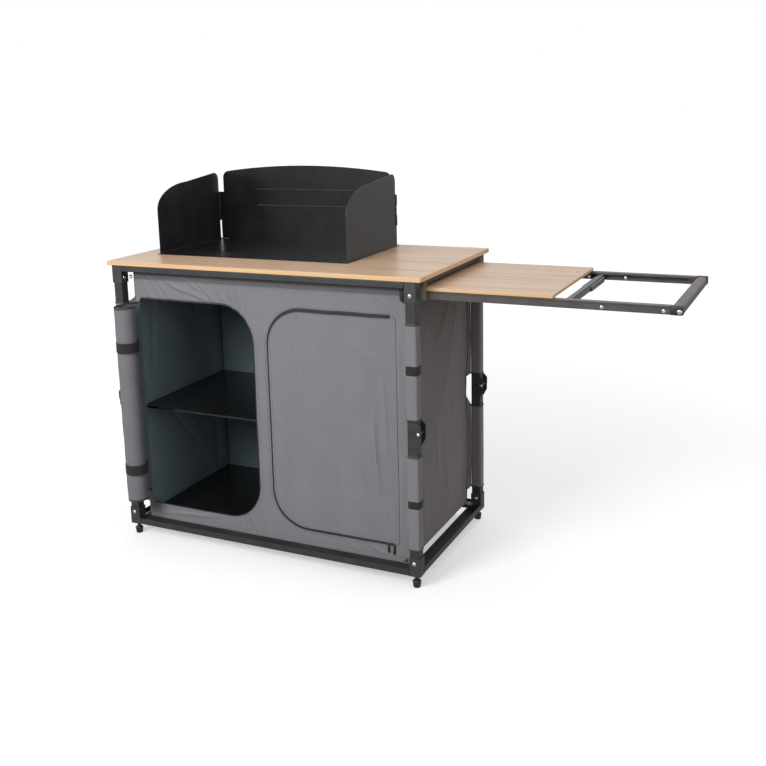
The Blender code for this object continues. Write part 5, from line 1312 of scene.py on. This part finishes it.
# %% Floor and sky
work = bmesh.new()
bmesh.ops.create_grid(work, x_segments=1, y_segments=1, size=40.0)
bmesh.ops.translate(work, vec=(0, 0, cad_box[0][2] - 0.2 * MM), verts=work.verts)
floor_mesh = bpy.data.meshes.new("floor")
work.to_mesh(floor_mesh)
work.free()
floor = bpy.data.objects.new("floor", floor_mesh)
bpy.context.scene.collection.objects.link(floor)
FLOOR = finish("white_paper_floor", Roughness=1.0, Specular_IOR_Level=0.0, Emission_Color=(1, 1, 1, 1))
ray = add(FLOOR, "LightPath").node.outputs
paper = add(FLOOR, "MixRGB", {
    "Fac": ray["Is Camera Ray"], "Color1": (0.12, 0.12, 0.122, 1), "Color2": (0.60, 0.60, 0.60, 1)})
mirrored = add(FLOOR, "Math", {0: ray["Is Glossy Ray"], 1: 0.35}, operation="MULTIPLY")
place = add(FLOOR, "TexCoord", out="Object")
away = add(FLOOR, "VectorMath", {0: place}, out="Value", operation="LENGTH")
glow = add(FLOOR, "MapRange", {
    "Value": away, "From Min": 0.7, "From Max": 2.6, "To Min": 0.47, "To Max": 0.66})
paper_glow = add(FLOOR, "Math", {
    0: ray["Is Camera Ray"], 1: glow, 2: mirrored}, operation="MULTIPLY_ADD")
dress(FLOOR, Base_Color=paper, Emission_Strength=paper_glow)
floor_mesh.materials.append(FLOOR)

world = bpy.data.worlds.new("sky")
bpy.context.scene.world = world
world.use_nodes = True
sky = world.node_tree.nodes["Background"]
ray = add(world, "LightPath").node.outputs
seen = add(world, "Math", {
    0: ray["Is Camera Ray"], 1: ray["Is Glossy Ray"]}, operation="MAXIMUM")
clear = add(world, "Math", {0: seen, 1: ray["Is Transmission Ray"]}, operation="MAXIMUM")
strength = add(world, "MapRange", {"Value": clear, "To Min": 0.42, "To Max": 1.0})
world.node_tree.links.new(strength, sky.inputs["Strength"])
sky.inputs["Color"].default_value = (1, 1, 1, 1)
print("stage:", floor.name, world.name)

# %% Lamps
def lamp(name, kind, power, place, aim, **settings):
    data = bpy.data.lights.new(name, kind)
    data.energy = power
    for key, value in settings.items():
        setattr(data, key, value)
    made = bpy.data.objects.new(name, data)
    made.location = Vector(place) + CENTRE
    made.rotation_euler = (Vector(aim) - Vector(place)).to_track_quat("-Z", "Y").to_euler()
    bpy.context.scene.collection.objects.link(made)
    print("lamp:", name, power)


lamp("softbox", "AREA", 82, (-0.60, -2.75, 2.10), (0.0, -0.2, 0.55), shape="SQUARE", size=1.2)
lamp("sky_panel", "SUN", 0.75, (0.6, 1.1, 3.0), (0.0, 0.0, 0.0), angle=math.radians(40))
lamp("side_card", "AREA", 7, (2.55, -0.90, 0.95), (0.45, 0.0, 0.45), shape="SQUARE", size=1.4)

# %% Size and end
print("cad box:", [[round(v, 4) for v in p] for p in cad_box])
